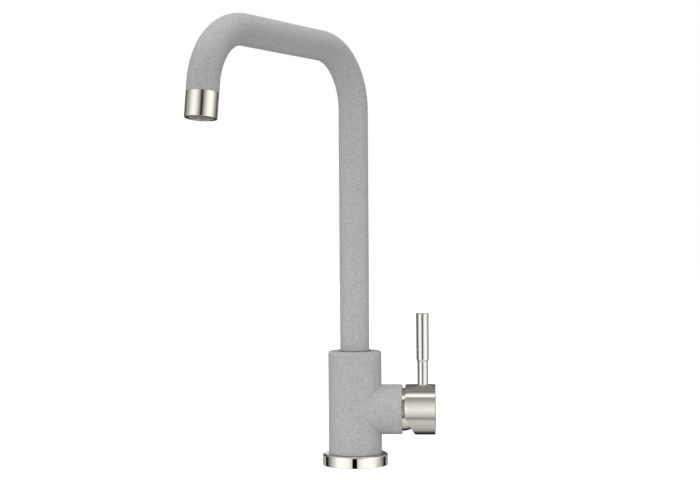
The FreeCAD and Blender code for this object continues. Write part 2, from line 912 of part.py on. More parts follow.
def outlet_bush():
    """Threaded bush in the straight end of the tube."""
    bore = outlet_bush_bore / 2
    insertion = outlet_straight - outlet_bush_bend_gap
    return outlet_turned([
        (-insertion, bore, 0),
        (-insertion, tube_bore_radius, 0),
        (0, tube_bore_radius, 0),
        (0, outlet_thread_radius, 0),
        (outlet_thread_length, outlet_thread_radius, outlet_thread_edge_radius),
        (outlet_thread_length, bore, 0),
    ])


insert_top = outlet_thread_length + washer_height + screen_height
cage_radius = aerator_lip_opening / 2 - screen_rim_gap


def aerator_housing():
    """Bright sleeve screwed on the bush; its inner lip holds the insert."""
    lip = aerator_lip_opening / 2
    return outlet_turned([
        (0, outlet_thread_radius, 0),
        (0, aerator_radius, aerator_rim_radius),
        (aerator_length, aerator_radius, aerator_edge_radius),
        (aerator_length, lip, aerator_rim_radius),
        (insert_top + insert_flange_height, lip, 0),
        (insert_top + insert_flange_height, outlet_thread_radius, 0),
    ])


def aerator_washer():
    """Rubber washer between bush and screen."""
    top = outlet_thread_length
    return outlet_turned([
        (top, washer_bore / 2, 0),
        (top, outlet_thread_radius, 0),
        (top + washer_height, outlet_thread_radius, 0),
        (top + washer_height, washer_bore / 2, 0),
    ])


def outlet_holes(count, ring_radius, radius, low, high):
    """Cylinders along the outlet's axis, spaced evenly round a ring."""
    end, direction, side, other = outlet_frame()
    holes = []
    for i in range(count):
        u, v = polar(ring_radius, 2 * math.pi * i / count)
        holes.append(drilled(end + direction * low + side * u + other * v, direction, radius, high - low))
    return holes


def aerator_screen():
    """Thin pierced disc that holds grit back."""
    top = outlet_thread_length + washer_height
    rim = outlet_thread_radius - screen_rim_gap
    disc = outlet_turned([
        (top, 0, 0),
        (top, rim, 0),
        (top + screen_height, rim, 0),
        (top + screen_height, 0, 0),
    ])
    holes = []
    for ring in range(1, screen_ring_count + 1):
        holes += outlet_holes(6 * ring, ring * screen_ring_pitch, screen_hole_diameter / 2,
                              top - over, top + screen_height + over)
    return disc.cut(holes)


def aerator_insert():
    """Plastic cage with a grid of webs across its mouth, seated on the sleeve's lip."""
    rim = outlet_thread_radius - screen_rim_gap
    low = aerator_length - insert_recess
    cage = outlet_turned([
        (insert_top, 0, 0),
        (insert_top, rim, 0),
        (insert_top + insert_flange_height, rim, 0),
        (insert_top + insert_flange_height, cage_radius, 0),
        (low, cage_radius, aerator_rim_radius),
        (low, cage_radius - insert_wall, 0),
        (insert_top + insert_flange_height, cage_radius - insert_wall, 0),
        (insert_top + insert_flange_height, 0, 0),
    ])
    jets = outlet_holes(insert_jet_count, insert_jet_ring / 2, insert_jet_diameter / 2,
                        insert_top - over, insert_top + insert_flange_height + over)
    return cage.cut(jets).fuse(insert_webs(low)).removeSplitter()


def insert_webs(low):
    """Parallel webs both ways across the cage's mouth, cut round to its wall."""
    end, direction, side, other = outlet_frame()
    radius = cage_radius - insert_wall / 2
    top = end + direction * (low - insert_web_depth)
    pitch = 2 * radius / (insert_web_count + 1)
    bars = []
    for i in range(insert_web_count):
        offset = (i - (insert_web_count - 1) / 2) * pitch
        for along, across in ((side, other), (other, side)):
            points = []
            for u, v in ((-1, -1), (1, -1), (1, 1), (-1, 1), (-1, -1)):
                points.append(top + along * (u * radius) + across * (offset + v * insert_web / 2))
            web = Part.Face(Part.makePolygon(points))
            bars.append(web.extrude(direction * (insert_web_depth - insert_web_recess)))
    grid = bars[0].fuse(bars[1:])
    return grid.common(drilled(top, direction, radius, insert_web_depth))


PIECES = {
    "mixer_body": mixer_body,
    "base_ring": base_ring,
    "base_seal": base_seal,
    "upper_bearing": upper_bearing,
    "spout_set_screw": spout_set_screw,
    "cartridge_base": cartridge_base,
    "port_seals": port_seals,
    "cartridge_housing": cartridge_housing,
    "fixed_disc": fixed_disc,
    "cartridge_nut": cartridge_nut,
    "dome_cover": dome_cover,
    "spout_tube": spout_tube,
    "spout_shank": spout_shank,
    "lower_bearing": lower_bearing,
    "spout_o_rings": spout_o_rings,
    "outlet_bush": outlet_bush,
    "aerator_housing": aerator_housing,
    "aerator_washer": aerator_washer,
    "aerator_screen": aerator_screen,
    "aerator_insert": aerator_insert,
    "cartridge_rotor": cartridge_rotor,
    "spindle_pin": spindle_pin,
    "moving_disc": moving_disc,
    "disc_carrier": disc_carrier,
    "cartridge_spindle": cartridge_spindle,
    "handle_cap": handle_cap,
    "handle_rod": handle_rod,
    "handle_set_screw": handle_set_screw,
    "handle_plug": handle_plug,
}

os.makedirs("parts", exist_ok=True)
for name, build in PIECES.items():
    shape = build()
    print(f"{name}: {len(shape.Solids)} solid, volume {shape.Volume:.0f}, valid {shape.isValid()}")
    shape.exportStep(f"parts/{name}.step")
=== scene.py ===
import json
import logging
import math
from collections.abc import Sequence
from dataclasses import dataclass, field
from enum import Enum

import bmesh
import bpy
from mathutils import Matrix, Vector


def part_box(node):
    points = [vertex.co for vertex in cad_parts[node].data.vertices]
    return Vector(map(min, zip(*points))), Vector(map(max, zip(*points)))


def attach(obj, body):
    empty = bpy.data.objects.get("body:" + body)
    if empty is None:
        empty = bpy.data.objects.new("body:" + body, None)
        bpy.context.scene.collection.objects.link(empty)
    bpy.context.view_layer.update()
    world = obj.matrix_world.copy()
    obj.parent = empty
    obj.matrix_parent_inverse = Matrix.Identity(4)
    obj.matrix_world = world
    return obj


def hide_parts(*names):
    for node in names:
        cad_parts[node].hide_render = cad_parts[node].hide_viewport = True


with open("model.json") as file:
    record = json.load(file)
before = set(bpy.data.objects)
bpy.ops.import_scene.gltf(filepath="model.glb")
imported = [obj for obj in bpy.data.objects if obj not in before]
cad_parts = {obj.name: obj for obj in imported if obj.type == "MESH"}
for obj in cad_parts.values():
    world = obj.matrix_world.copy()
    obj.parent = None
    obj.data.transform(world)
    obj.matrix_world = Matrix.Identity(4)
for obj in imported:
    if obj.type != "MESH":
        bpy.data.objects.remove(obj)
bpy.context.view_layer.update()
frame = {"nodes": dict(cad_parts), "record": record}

log = logging.getLogger("mixer_tap")

# Sizes are in millimetres, and vertices in metres
MM = 0.001
# Points nearer to one another than this are one point
TOUCH = 1e-6

TURNED_SEGMENTS = 192
HOLE_SEGMENTS = 48
ARC_STEP_DEG = 7.5
FEWEST_ARC_STEPS = 3
SHARP_EDGE_DEG = 14.0
COARSE_SHARP_EDGE_DEG = 30.0
THREAD_STEPS_PER_TURN = 40
THREAD_RIDGE_CORNERS = 4

Corner = tuple[float, float, float]
Point = tuple[float, float]
Colour = tuple[float, float, float]
Stops = tuple[tuple[float, float], ...]
Sizes = dict[str, int | float | Vector]
Mesh = bpy.types.Mesh
MeshObject = bpy.types.Object

WHITE: Colour = (1.0, 1.0, 1.0)


class Slot(Enum):
    """Material slots of the record that the pieces take their finish from."""

    COAT = "coated_metal"
    POLISHED = "polished_nickel"
    TURNED = "brushed_nickel"
    RUBBER = "black_rubber"
    DARK_PLASTIC = "dark_plastic"
    WHITE_PLASTIC = "white_plastic"
    STEEL = "steel"
    BRASS = "brass"
    CERAMIC = "ceramic"
    GREY_PLASTIC = "grey_plastic"


class Body(Enum):
    """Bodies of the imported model."""

    TAP = "tap_body"
    SPOUT = "spout"
    LEVER = "lever"


class Cut(Enum):
    """Ways to join or cut two meshes."""

    JOIN = "UNION"
    REMOVE = "DIFFERENCE"


@dataclass(frozen=True)
class Signal:
    """A value in a node tree, with the arithmetic that the trees use."""

    graph: "Graph"
    socket: bpy.types.NodeSocket

    def __add__(self, other: "Signal | float") -> "Signal":
        """Sum."""
        return self.graph.maths("ADD", self, other)

    __radd__ = __add__

    def __sub__(self, other: "Signal | float") -> "Signal":
        """Difference."""
        return self.graph.maths("SUBTRACT", self, other)

    def __rsub__(self, other: float) -> "Signal":
        """Difference from a number."""
        return self.graph.maths("SUBTRACT", other, self)

    def __mul__(self, other: "Signal | float") -> "Signal":
        """Product."""
        return self.graph.maths("MULTIPLY", self, other)

    __rmul__ = __mul__

    def __truediv__(self, other: "Signal | float") -> "Signal":
        """Quotient."""
        return self.graph.maths("DIVIDE", self, other)


@dataclass(frozen=True)
class Band:
    """Stretch of a signal's values over which a share grows smoothly from 0 to its full amount."""

    start: float
    full: float
    amount: float = 1.0


class Graph:
    """A node tree of a material, a world or a shape, built by short expressions."""

    def __init__(self, tree: bpy.types.NodeTree) -> None:
        """Starts with an empty tree.

        Args:
            tree: The tree to fill.
        """
        self.tree = tree
        tree.nodes.clear()

    def node(self, kind: str, settings: dict[str, object] | None = None,
             inputs: dict[int | str, object] | None = None, output: int | str = 0) -> Signal:
        """Adds a node.

        Args:
            kind: The node's type.
            settings: Properties set first; "stops" gives a ramp's (place, grey).
            inputs: Values or links by socket name or number.
            output: The output that is returned.

        Returns:
            The chosen output.
        """
        made = self.tree.nodes.new(kind)
        for key, value in (settings or {}).items():
            if key == "stops":
                self._set_stops(made.color_ramp, value)
            else:
                setattr(made, key, value)
        for key, value in (inputs or {}).items():
            socket = made.inputs[key]
            if isinstance(value, Signal):
                self.tree.links.new(value.socket, socket)
            else:
                socket.default_value = value
        if not made.outputs:
            return Signal(self, made.inputs[0])
        return Signal(self, made.outputs[output])

    @staticmethod
    def _set_stops(ramp: bpy.types.ColorRamp, stops: Sequence[Point]) -> None:
        """Fills a ramp.

        Args:
            ramp: The ramp.
            stops: Places from 0 to 1, each with a grey.
        """
        while len(ramp.elements) < len(stops):
            ramp.elements.new(1.0)
        for element, (place, grey) in zip(ramp.elements, stops):
            element.position = place
            element.color = (grey, grey, grey, 1.0)

    def maths(self, operation: str, *values: "Signal | float") -> Signal:
        """Adds a Math node.

        Args:
            operation: The node's operation.
            *values: Its inputs in order.

        Returns:
            The result.
        """
        return self.node("ShaderNodeMath", {"operation": operation}, dict(enumerate(values)))

    def vectors(self, operation: str, first: object, second: object | None = None) -> Signal:
        """Adds a Vector Math node.

        Args:
            operation: The node's operation.
            first: Its first vector.
            second: Its second vector, or the factor of a SCALE.

        Returns:
            A number for a LENGTH or a DOT_PRODUCT, and a vector otherwise.
        """
        inputs = {0: first}
        if second is not None:
            inputs["Scale" if operation == "SCALE" else 1] = second
        output = "Value" if operation in ("LENGTH", "DOT_PRODUCT") else "Vector"
        return self.node("ShaderNodeVectorMath", {"operation": operation}, inputs, output)

    def blend(self, factor: "Signal | float", first: object, second: object) -> Signal:
        """Mixes two colours.

        Args:
            factor: Share of the second colour.
            first: Colour or signal at 0.
            second: Colour or signal at 1.

        Returns:
            The mixed colour.
        """
        opaque = [(*c, 1.0) if isinstance(c, tuple) else c for c in (first, second)]
        inputs = {0: factor, 6: opaque[0], 7: opaque[1]}
        return self.node("ShaderNodeMix", {"data_type": "RGBA"}, inputs, 2)

    def share(self, value: Signal, band: Band) -> Signal:
        """How much of a band's amount is reached at a value.

        Args:
            value: The signal.
            band: The band.

        Returns:
            The share.
        """
        return self.node("ShaderNodeMapRange", {"interpolation_type": "SMOOTHSTEP"}, {
            "Value": value, "From Min": band.start, "From Max": band.full, "To Max": band.amount})

    def curve(self, value: Signal, low: float, high: float, stops: Stops) -> Signal:
        """Follows straight stretches between stops.

        Args:
            value: The signal.
            low: The value that the ramp's start stands for.
            high: The value that the ramp's end stands for.
            stops: Values of the signal, each with the result there.

        Returns:
            The result.
        """
        inputs = {"Value": value, "From Min": low, "From Max": high}
        share = self.node("ShaderNodeMapRange", None, inputs)
        places = [((at - low) / (high - low), level) for at, level in stops]
        ramp = self.node("ShaderNodeValToRGB", {"stops": places}, {0: share})
        return self.node("ShaderNodeSeparateColor", None, {0: ramp})

    def noise(self, position: Signal, grain: float, detail: float = 2.0,
              roughness: float = 0.5) -> Signal:
        """Soft noise from 0 to 1.

        Args:
            position: Place on the piece, in metres.
            grain: Size of the blotches in millimetres.
            detail: Number of finer layers.
            roughness: Weight of the finer layers.

        Returns:
            The noise.
        """
        return self.node("ShaderNodeTexNoise", None, {
            "Vector": position, "Scale": 1.0 / (grain * MM), "Detail": detail, "Roughness": roughness})

    def lines(self, distance: Signal, pitch: float, detail: float = 3.0,
              roughness: float = 0.7) -> Signal:
        """Uneven lines from 0 to 1 that follow one another along a distance.

        Args:
            distance: The distance in metres.
            pitch: Rough width of a line in millimetres.
            detail: Number of finer layers.
            roughness: Weight of the finer layers.

        Returns:
            The lines.
        """
        return self.node("ShaderNodeTexNoise", {"noise_dimensions": "1D"}, {
            "W": distance / (pitch * MM), "Scale": 1.0, "Detail": detail, "Roughness": roughness})

    def bump(self, height: Signal, strength: float, depth: float) -> Signal:
        """Turns a height into a normal.

        Args:
            height: Height from 0 to about 1.
            strength: Share of the effect.
            depth: What a height of 1 stands for, in millimetres.

        Returns:
            The normal.
        """
        return self.node("ShaderNodeBump", None, {
            "Height": height, "Strength": strength, "Distance": depth * MM})


@dataclass(frozen=True)
class Finish:
    """What every finish has: a name, a slot and a shader of its own."""

    name: str
    slot: Slot

    def paint(self, graph: Graph, place: Signal) -> dict[str, object]:
        """Inputs of the surface shader. Each kind of finish has its own.

        Args:
            graph: The material's tree.
            place: Place on the piece, in metres.

        Returns:
            Values or signals by input name.
        """
        raise NotImplementedError

    def material(self) -> bpy.types.Material:
        """Builds the material once and keeps it.

        Returns:
            The material.
        """
        known = bpy.data.materials.get(self.name)
        if known:
            return known
        made = bpy.data.materials.new(self.name)
        made.use_nodes = True
        graph = Graph(made.node_tree)
        place = graph.node("ShaderNodeTexCoord", output="Object")
        surface = graph.node("ShaderNodeBsdfPrincipled", None, self.paint(graph, place))
        graph.node("ShaderNodeOutputMaterial", None, {"Surface": surface})
        return made


@dataclass(frozen=True)
class GraniteCoat(Finish):
    """Matt stone-effect coat: mid grey with fine light and dark grains and a faint orange peel."""

    tone: Colour = (0.43, 0.43, 0.42)
    light: Colour = (0.62, 0.62, 0.605)
    dark: Colour = (0.22, 0.22, 0.215)
    grain: float = 0.62
    dust: float = 0.341
    mottle: float = 2.4
    clumping: float = 0.3
    light_grains: Band = Band(0.93, 1.06, 0.55)
    dark_grains: Band = Band(0.95, 1.08, 0.5)
    light_dust: Band = Band(0.35, 0.75, 0.22)
    dark_clouds: Band = Band(0.35, 0.7, 0.14)
    dust_height: float = 0.7
    mottle_height: float = 0.3
    grain_height: float = 0.25
    bump: float = 0.55
    relief: float = 0.12
    roughness: float = 0.46
    rougher: float = 0.16
    ior: float = 1.5

    def paint(self, graph: Graph, place: Signal) -> dict[str, object]:
        """Base tone with two sorts of grains over a soft mottle.

        Args:
            graph: The material's tree.
            place: Place on the piece, in metres.

        Returns:
            Values or signals by input name.
        """
        cells = graph.node("ShaderNodeTexVoronoi", None, {
            "Vector": place, "Scale": 1.0 / (self.grain * MM), "Randomness": 1.0}, "Color")
        first = graph.node("ShaderNodeSeparateColor", None, {0: cells}, 0)
        second = graph.node("ShaderNodeSeparateColor", None, {0: cells}, 1)
        mottle = graph.noise(place, self.mottle, detail=3.0, roughness=0.6)
        dust = graph.noise(place, self.dust, detail=2.0, roughness=0.6)
        clumps = mottle * self.clumping
        colour = graph.blend(graph.share(first + clumps, self.light_grains), self.tone, self.light)
        colour = graph.blend(graph.share(second + clumps, self.dark_grains), colour, self.dark)
        colour = graph.blend(graph.share(dust, self.light_dust), colour, self.light)
        colour = graph.blend(graph.share(mottle, self.dark_clouds), colour, self.dark)
        height = dust * self.dust_height + mottle * self.mottle_height + first * self.grain_height
        return {
            "Base Color": colour,
            "Roughness": self.roughness + dust * self.rougher,
            "Normal": graph.bump(height, self.bump, self.relief),
            "IOR": self.ior,
        }


@dataclass(frozen=True)
class PolishedMetal(Finish):
    """Polished plated metal with a faint haze and hairline marks."""

    tone: Colour = (0.87, 0.845, 0.79)
    roughness: float = 0.03
    haze: float = 14.0
    hairline: float = 0.35
    worn: float = 0.93
    worn_patches: Band = Band(0.4, 0.8, 0.5)
    hazy_patches: Band = Band(0.35, 0.75, 0.04)
    marks: Band = Band(0.66, 0.78, 0.05)
    haze_height: float = 0.5
    hairline_height: float = 0.02
    bump: float = 0.06
    relief: float = 0.1

    def paint(self, graph: Graph, place: Signal) -> dict[str, object]:
        """Mirror finish with slow changes of gloss.

        Args:
            graph: The material's tree.
            place: Place on the piece, in metres.

        Returns:
            Values or signals by input name.
        """
        haze = graph.noise(place, self.haze, detail=3.0, roughness=0.55)
        hair = graph.noise(place, self.hairline, detail=2.0, roughness=0.7)
        worn = tuple(c * self.worn for c in self.tone)
        height = haze * self.haze_height + hair * self.hairline_height
        dull = graph.share(haze, self.hazy_patches) + graph.share(hair, self.marks)
        return {
            "Base Color": graph.blend(graph.share(haze, self.worn_patches), self.tone, worn),
            "Metallic": 1.0,
            "Roughness": self.roughness + dull,
            "Normal": graph.bump(height, self.bump, self.relief),
        }


@dataclass(frozen=True)
class TurnedMetal(Finish):
    """Plated metal turned on a lathe: fine rings about an axis spread the reflections along it."""

    tone: Colour = (0.67, 0.65, 0.588)
    roughness: float = 0.06
    slope: float = 0.36
    spread: float = 0.2
    axis: tuple[float, float, float] = (1.0, 0.0, 0.0)
    axis_height: float = 46.5
    pitch: float = 0.02
    slow_pitch: float = 0.034
    face_pitch: float = 0.5
    worn: float = 0.9
    flanks: Band = Band(0.46, 0.54, 2.0)
    steeper: Band = Band(0.3, 0.7)
    wall: Band = Band(0.36, 0.2)
    end_face: Band = Band(0.8, 0.95)
    face_lines: Band = Band(0.3, 0.7)
    crests: Band = Band(0.4, 0.7)
    worn_crests: float = 0.4
    worn_face: float = 0.6
    rough_crests: float = 0.03
    rough_face: float = 0.05

    def paint(self, graph: Graph, place: Signal) -> dict[str, object]:
        """Rings as a change of the normal along the axis, and circles on the end face.

        Args:
            graph: The material's tree.
            place: Place on the piece, in metres.

        Returns:
            Values or signals by input name.
        """
        along = graph.vectors("DOT_PRODUCT", place, self.axis)
        rings = graph.lines(along, self.pitch)
        slow_rings = graph.lines(along, self.slow_pitch, detail=2.0, roughness=0.6)
        world_axis = graph.node("ShaderNodeVectorTransform", {
            "vector_type": "VECTOR", "convert_from": "OBJECT", "convert_to": "WORLD"}, {0: self.axis})
        surface = graph.node("ShaderNodeNewGeometry", output="Normal")
        slant = graph.maths("ABSOLUTE", graph.vectors("DOT_PRODUCT", surface, world_axis))
        steepness = self.slope + graph.share(slow_rings, self.steeper) * self.spread
        tilt = (graph.share(rings, self.flanks) - 1.0) * steepness * graph.share(slant, self.wall)
        tilted = graph.vectors("ADD", surface, graph.vectors("SCALE", world_axis, tilt))
        from_axis = graph.vectors("SUBTRACT", place, (0.0, 0.0, self.axis_height * MM))
        radius = graph.vectors("LENGTH", graph.vectors("CROSS_PRODUCT", from_axis, self.axis))
        circles = graph.share(graph.lines(radius, self.face_pitch), self.face_lines)
        face = circles * graph.share(slant, self.end_face)
        crests = graph.share(rings, self.crests)
        worn = tuple(c * self.worn for c in self.tone)
        wear = crests * self.worn_crests + face * self.worn_face
        return {
            "Base Color": graph.blend(wear, self.tone, worn),
            "Metallic": 1.0,
            "Roughness": self.roughness + crests * self.rough_crests + face * self.rough_face,
            "Normal": graph.vectors("NORMALIZE", tilted),
        }


@dataclass(frozen=True)
class Moulded(Finish):
    """Moulded plastic, rubber or fired ceramic: one tone with a fine texture."""

    tone: Colour = (0.5, 0.5, 0.5)
    shade: float = 0.85
    roughness: float = 0.5
    grain: float = 0.5
    relief: float = 0.08
    cloud_size: float = 12.0
    clouds: Band = Band(0.35, 0.7)
    rough_skin: Band = Band(0.3, 0.7, 0.1)
    bump: float = 0.4

    def paint(self, graph: Graph, place: Signal) -> dict[str, object]:
        """Tone with soft clouds and a fine skin.

        Args:
            graph: The material's tree.
            place: Place on the piece, in metres.

        Returns:
            Values or signals by input name.
        """
        skin = graph.noise(place, self.grain, detail=3.0, roughness=0.6)
        clouds = graph.noise(place, self.grain * self.cloud_size)
        darker = tuple(c * self.shade for c in self.tone)
        return {
            "Base Color": graph.blend(graph.share(clouds, self.clouds), self.tone, darker),
            "Roughness": self.roughness + graph.share(skin, self.rough_skin),
            "Normal": graph.bump(skin, self.bump, self.relief),
        }


@dataclass(frozen=True)
class Machined(Finish):
    """Bare machined metal with fine tool marks."""

    tone: Colour = (0.7, 0.7, 0.7)
    roughness: float = 0.28
    grain: float = 0.25
    shade: float = 0.8
    stain_size: float = 20.0
    stains: Band = Band(0.4, 0.75, 0.7)
    rough_marks: Band = Band(0.35, 0.7, 0.12)
    bump: float = 0.35
    relief: float = 0.03

    def paint(self, graph: Graph, place: Signal) -> dict[str, object]:
        """Metal with tool marks and slight stains.

        Args:
            graph: The material's tree.
            place: Place on the piece, in metres.

        Returns:
            Values or signals by input name.
        """
        marks = graph.noise(place, self.grain, detail=4.0, roughness=0.7)
        stains = graph.noise(place, self.grain * self.stain_size, detail=3.0, roughness=0.6)
        darker = tuple(c * self.shade for c in self.tone)
        return {
            "Base Color": graph.blend(graph.share(stains, self.stains), self.tone, darker),
            "Metallic": 1.0,
            "Roughness": self.roughness + graph.share(marks, self.rough_marks),
            "Normal": graph.bump(marks, self.bump, self.relief),
        }


COAT = GraniteCoat("granite_coat", Slot.COAT)
POLISHED = PolishedMetal("polished_plate", Slot.POLISHED)
SATIN = PolishedMetal("satin_sleeve_plate", Slot.POLISHED, tone=(0.71, 0.686, 0.628), roughness=0.09)
ROD_PLATE = PolishedMetal("rod_plate", Slot.POLISHED, tone=(0.75, 0.735, 0.69))
TURNED = TurnedMetal("turned_plate", Slot.TURNED)
COVER = TurnedMetal("ball_cover_plate", Slot.POLISHED, tone=(0.82, 0.795, 0.73), roughness=0.07,
                    slope=0.075, spread=0.04)
RUBBER = Moulded("seal_rubber", Slot.RUBBER, tone=(0.022, 0.022, 0.023), shade=0.7,
                 roughness=0.62, grain=0.35, relief=0.12)
DARK_PLASTIC = Moulded("bearing_plastic", Slot.DARK_PLASTIC, tone=(0.035, 0.035, 0.037), shade=0.8,
                       roughness=0.42, grain=0.4, relief=0.04)
WHITE_PLASTIC = Moulded("cartridge_plastic", Slot.WHITE_PLASTIC, tone=(0.72, 0.715, 0.69), shade=0.93,
                        roughness=0.38, grain=0.6, relief=0.04)
# Darker copy of the white plastic: painted shade for the insert that sits deep in the aerator's mouth
SHADED_CAGE_PLASTIC = Moulded("aerator_plastic_painted_shade", Slot.WHITE_PLASTIC, tone=(0.4, 0.4, 0.395), shade=0.9,
                       roughness=0.4, grain=0.6, relief=0.04)
GREY_PLASTIC = Moulded("plug_plastic", Slot.GREY_PLASTIC, tone=(0.34, 0.34, 0.335), shade=0.88,
                       roughness=0.4, grain=0.5, relief=0.06)
CERAMIC = Moulded("disc_ceramic", Slot.CERAMIC, tone=(0.80, 0.79, 0.75), shade=0.94,
                  roughness=0.16, grain=0.3, relief=0.016)
STEEL = Machined("screw_steel", Slot.STEEL, tone=(0.58, 0.575, 0.56), roughness=0.27)
BRASS = Machined("fitting_brass", Slot.BRASS, tone=(0.72, 0.54, 0.27), roughness=0.25)


@dataclass(frozen=True)
class Place:
    """An axis with its origin and a direction across it, in millimetres and as unit vectors."""

    origin: Vector
    axis: Vector
    side: Vector

    def point(self, along: float, radius: float, angle: float) -> Vector:
        """A point about the axis.

        Args:
            along: Distance along the axis.
            radius: Distance from the axis.
            angle: Turn about the axis from the side direction, in radians.

        Returns:
            The point in metres.
        """
        other = self.axis.cross(self.side)
        across = self.side * math.cos(angle) + other * math.sin(angle)
        return (self.origin + self.axis * along + across * radius) * MM


UP = Vector((0.0, 0.0, 1.0))
OUT = Vector((1.0, 0.0, 0.0))
ACROSS = Vector((0.0, 1.0, 0.0))


def rounded_outline(corners: Sequence[Corner]) -> list[Point]:
    """Turns corners with a rounding radius into a closed outline.

    Args:
        corners: (along, radius, rounding) of each corner.

    Returns:
        The outline's points.
    """
    outline: list[Point] = []
    count = len(corners)
    for i, (along, out, rounding) in enumerate(corners):
        here = Vector((along, out))
        if rounding <= 0:
            outline.append((along, out))
            continue
        before = (Vector(corners[i - 1][:2]) - here).normalized()
        after = (Vector(corners[(i + 1) % count][:2]) - here).normalized()
        half = before.angle(after) / 2
        centre = here + (before + after).normalized() * (rounding / math.sin(half))
        start = here + before * (rounding / math.tan(half)) - centre
        end = here + after * (rounding / math.tan(half)) - centre
        sweep = start.angle_signed(end)
        steps = max(FEWEST_ARC_STEPS, math.ceil(math.degrees(abs(sweep)) / ARC_STEP_DEG))
        for k in range(steps + 1):
            spoke = start.copy()
            spoke.rotate(Matrix.Rotation(-sweep * k / steps, 2))
            outline.append(tuple(centre + spoke))
    return outline


def named_object(name: str, mesh: Mesh) -> MeshObject:
    """Puts a mesh into the scene.

    Args:
        name: Name of the object and the mesh.
        mesh: The mesh.

    Returns:
        The object.
    """
    mesh.name = name
    made = bpy.data.objects.new(name, mesh)
    bpy.context.scene.collection.objects.link(made)
    return made


def turned_shape(name: str, outline: Sequence[Point], place: Place,
                 segments: int = TURNED_SEGMENTS) -> MeshObject:
    """Turns a closed outline about an axis.

    Args:
        name: Name of the object.
        outline: Points (along, radius); a radius of zero is a pole.
        place: The axis.
        segments: Number of steps round the axis.

    Returns:
        The object.
    """
    shape = bmesh.new()
    rings = []
    for along, radius in outline:
        count = 1 if radius < TOUCH else segments
        rings.append([shape.verts.new(place.point(along, radius, 2 * math.pi * k / segments))
                      for k in range(count)])
    for i, ring in enumerate(rings):
        following = rings[(i + 1) % len(rings)]
        if len(ring) == 1 and len(following) == 1:
            continue
        for k in range(segments):
            after = (k + 1) % segments
            loop = [ring[k % len(ring)], ring[after % len(ring)],
                    following[after % len(following)], following[k % len(following)]]
            shape.faces.new(list(dict.fromkeys(loop)))
    bmesh.ops.recalc_face_normals(shape, faces=shape.faces)
    mesh = bpy.data.meshes.new(name)
    shape.to_mesh(mesh)
    shape.free()
    return named_object(name, mesh)


def turned(name: str, corners: Sequence[Corner], place: Place,
           segments: int = TURNED_SEGMENTS) -> MeshObject:
    """Turns an outline given by its rounded corners. See turned_shape for the arguments."""
    return turned_shape(name, rounded_outline(corners), place, segments)


def drilled(place: Place, start: float, end: float, radius: float,
            segments: int = HOLE_SEGMENTS) -> MeshObject:
    """A cutter for a round hole.

    Args:
        place: The hole's axis.
        start: Where it starts along the axis.
        end: Where it ends.
        radius: Radius of the hole.
        segments: Number of steps round it.

    Returns:
        The cutter.
    """
    corners = [(start, 0.0), (start, radius), (end, radius), (end, 0.0)]
    return turned_shape("cutter", corners, place, segments)


def prism(corners: Sequence[Vector], sweep: Vector) -> MeshObject:
    """A cutter with straight sides.

    Args:
        corners: Corners of one end in millimetres.
        sweep: Way from that end to the other, in millimetres.

    Returns:
        The cutter.
    """
    shape = bmesh.new()
    ends = [[shape.verts.new((c + shift) * MM) for c in corners] for shift in (Vector(), sweep)]
    for end in ends:
        shape.faces.new(end)
    for k in range(len(corners)):
        after = (k + 1) % len(corners)
        shape.faces.new((ends[0][k], ends[0][after], ends[1][after], ends[1][k]))
    bmesh.ops.recalc_face_normals(shape, faces=shape.faces)
    mesh = bpy.data.meshes.new("cutter")
    shape.to_mesh(mesh)
    shape.free()
    return named_object("cutter", mesh)


def bake_shape(piece: MeshObject) -> MeshObject:
    """Turns an object and its modifiers into a plain mesh under the same name.

    Args:
        piece: The object.

    Returns:
        The same object with its final mesh.
    """
    bpy.context.view_layer.update()
    ready = piece.evaluated_get(bpy.context.evaluated_depsgraph_get())
    mesh = bpy.data.meshes.new_from_object(ready)
    piece.modifiers.clear()
    old = piece.data
    piece.data = mesh
    bpy.data.meshes.remove(old)
    mesh.name = piece.name
    return piece


def combine(piece: MeshObject, others: Sequence[MeshObject], way: Cut) -> MeshObject:
    """Joins other meshes to a piece or cuts them from it, and removes them.

    Args:
        piece: The piece.
        others: The meshes to join or to cut away.
        way: Join or remove.

    Returns:
        The piece.
    """
    for other in others:
        step = piece.modifiers.new(way.name, "BOOLEAN")
        step.operation = way.value
        step.solver = "EXACT"
        step.object = other
    bake_shape(piece)
    for other in others:
        mesh = other.data
        bpy.data.objects.remove(other)
        bpy.data.meshes.remove(mesh)
    return piece


def smooth(piece: MeshObject, limit_deg: float = SHARP_EDGE_DEG) -> MeshObject:
    """Shades a piece smooth and keeps the edges above an angle crisp.

    Args:
        piece: The piece.
        limit_deg: The angle.

    Returns:
        The piece.
    """
    shape = bmesh.new()
    shape.from_mesh(piece.data)
    bmesh.ops.remove_doubles(shape, verts=shape.verts, dist=TOUCH)
    bmesh.ops.dissolve_degenerate(shape, edges=shape.edges, dist=TOUCH)
    shape.to_mesh(piece.data)
    shape.free()
    piece.data.shade_smooth()
    piece.data.set_sharp_from_angle(angle=math.radians(limit_deg))
    weigh = piece.modifiers.new("weigh", "WEIGHTED_NORMAL")
    weigh.mode = "FACE_AREA"
    weigh.weight = 100
    weigh.keep_sharp = True
    return bake_shape(piece)


def give_finish(piece: MeshObject, finish: Finish) -> None:
    """Makes a finish the only material of a piece."""
    piece.data.materials.clear()
    piece.data.materials.append(finish.material())


def dress(piece: MeshObject, finish: Finish, body: Body, nodes: Sequence[str] = ()) -> MeshObject:
    """Gives a finished piece its material and its body, and hides the CAD nodes that it stands for.

    Args:
        piece: The piece.
        finish: Its finish.
        body: The body it rides on.
        nodes: The nodes it replaces.

    Returns:
        The piece.
    """
    give_finish(piece, finish)
    if nodes:
        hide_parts(*nodes)
    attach(piece, body.value)
    log.info("%s: %d faces, %s, on %s", piece.name, len(piece.data.polygons), finish.name, body.value)
    return piece


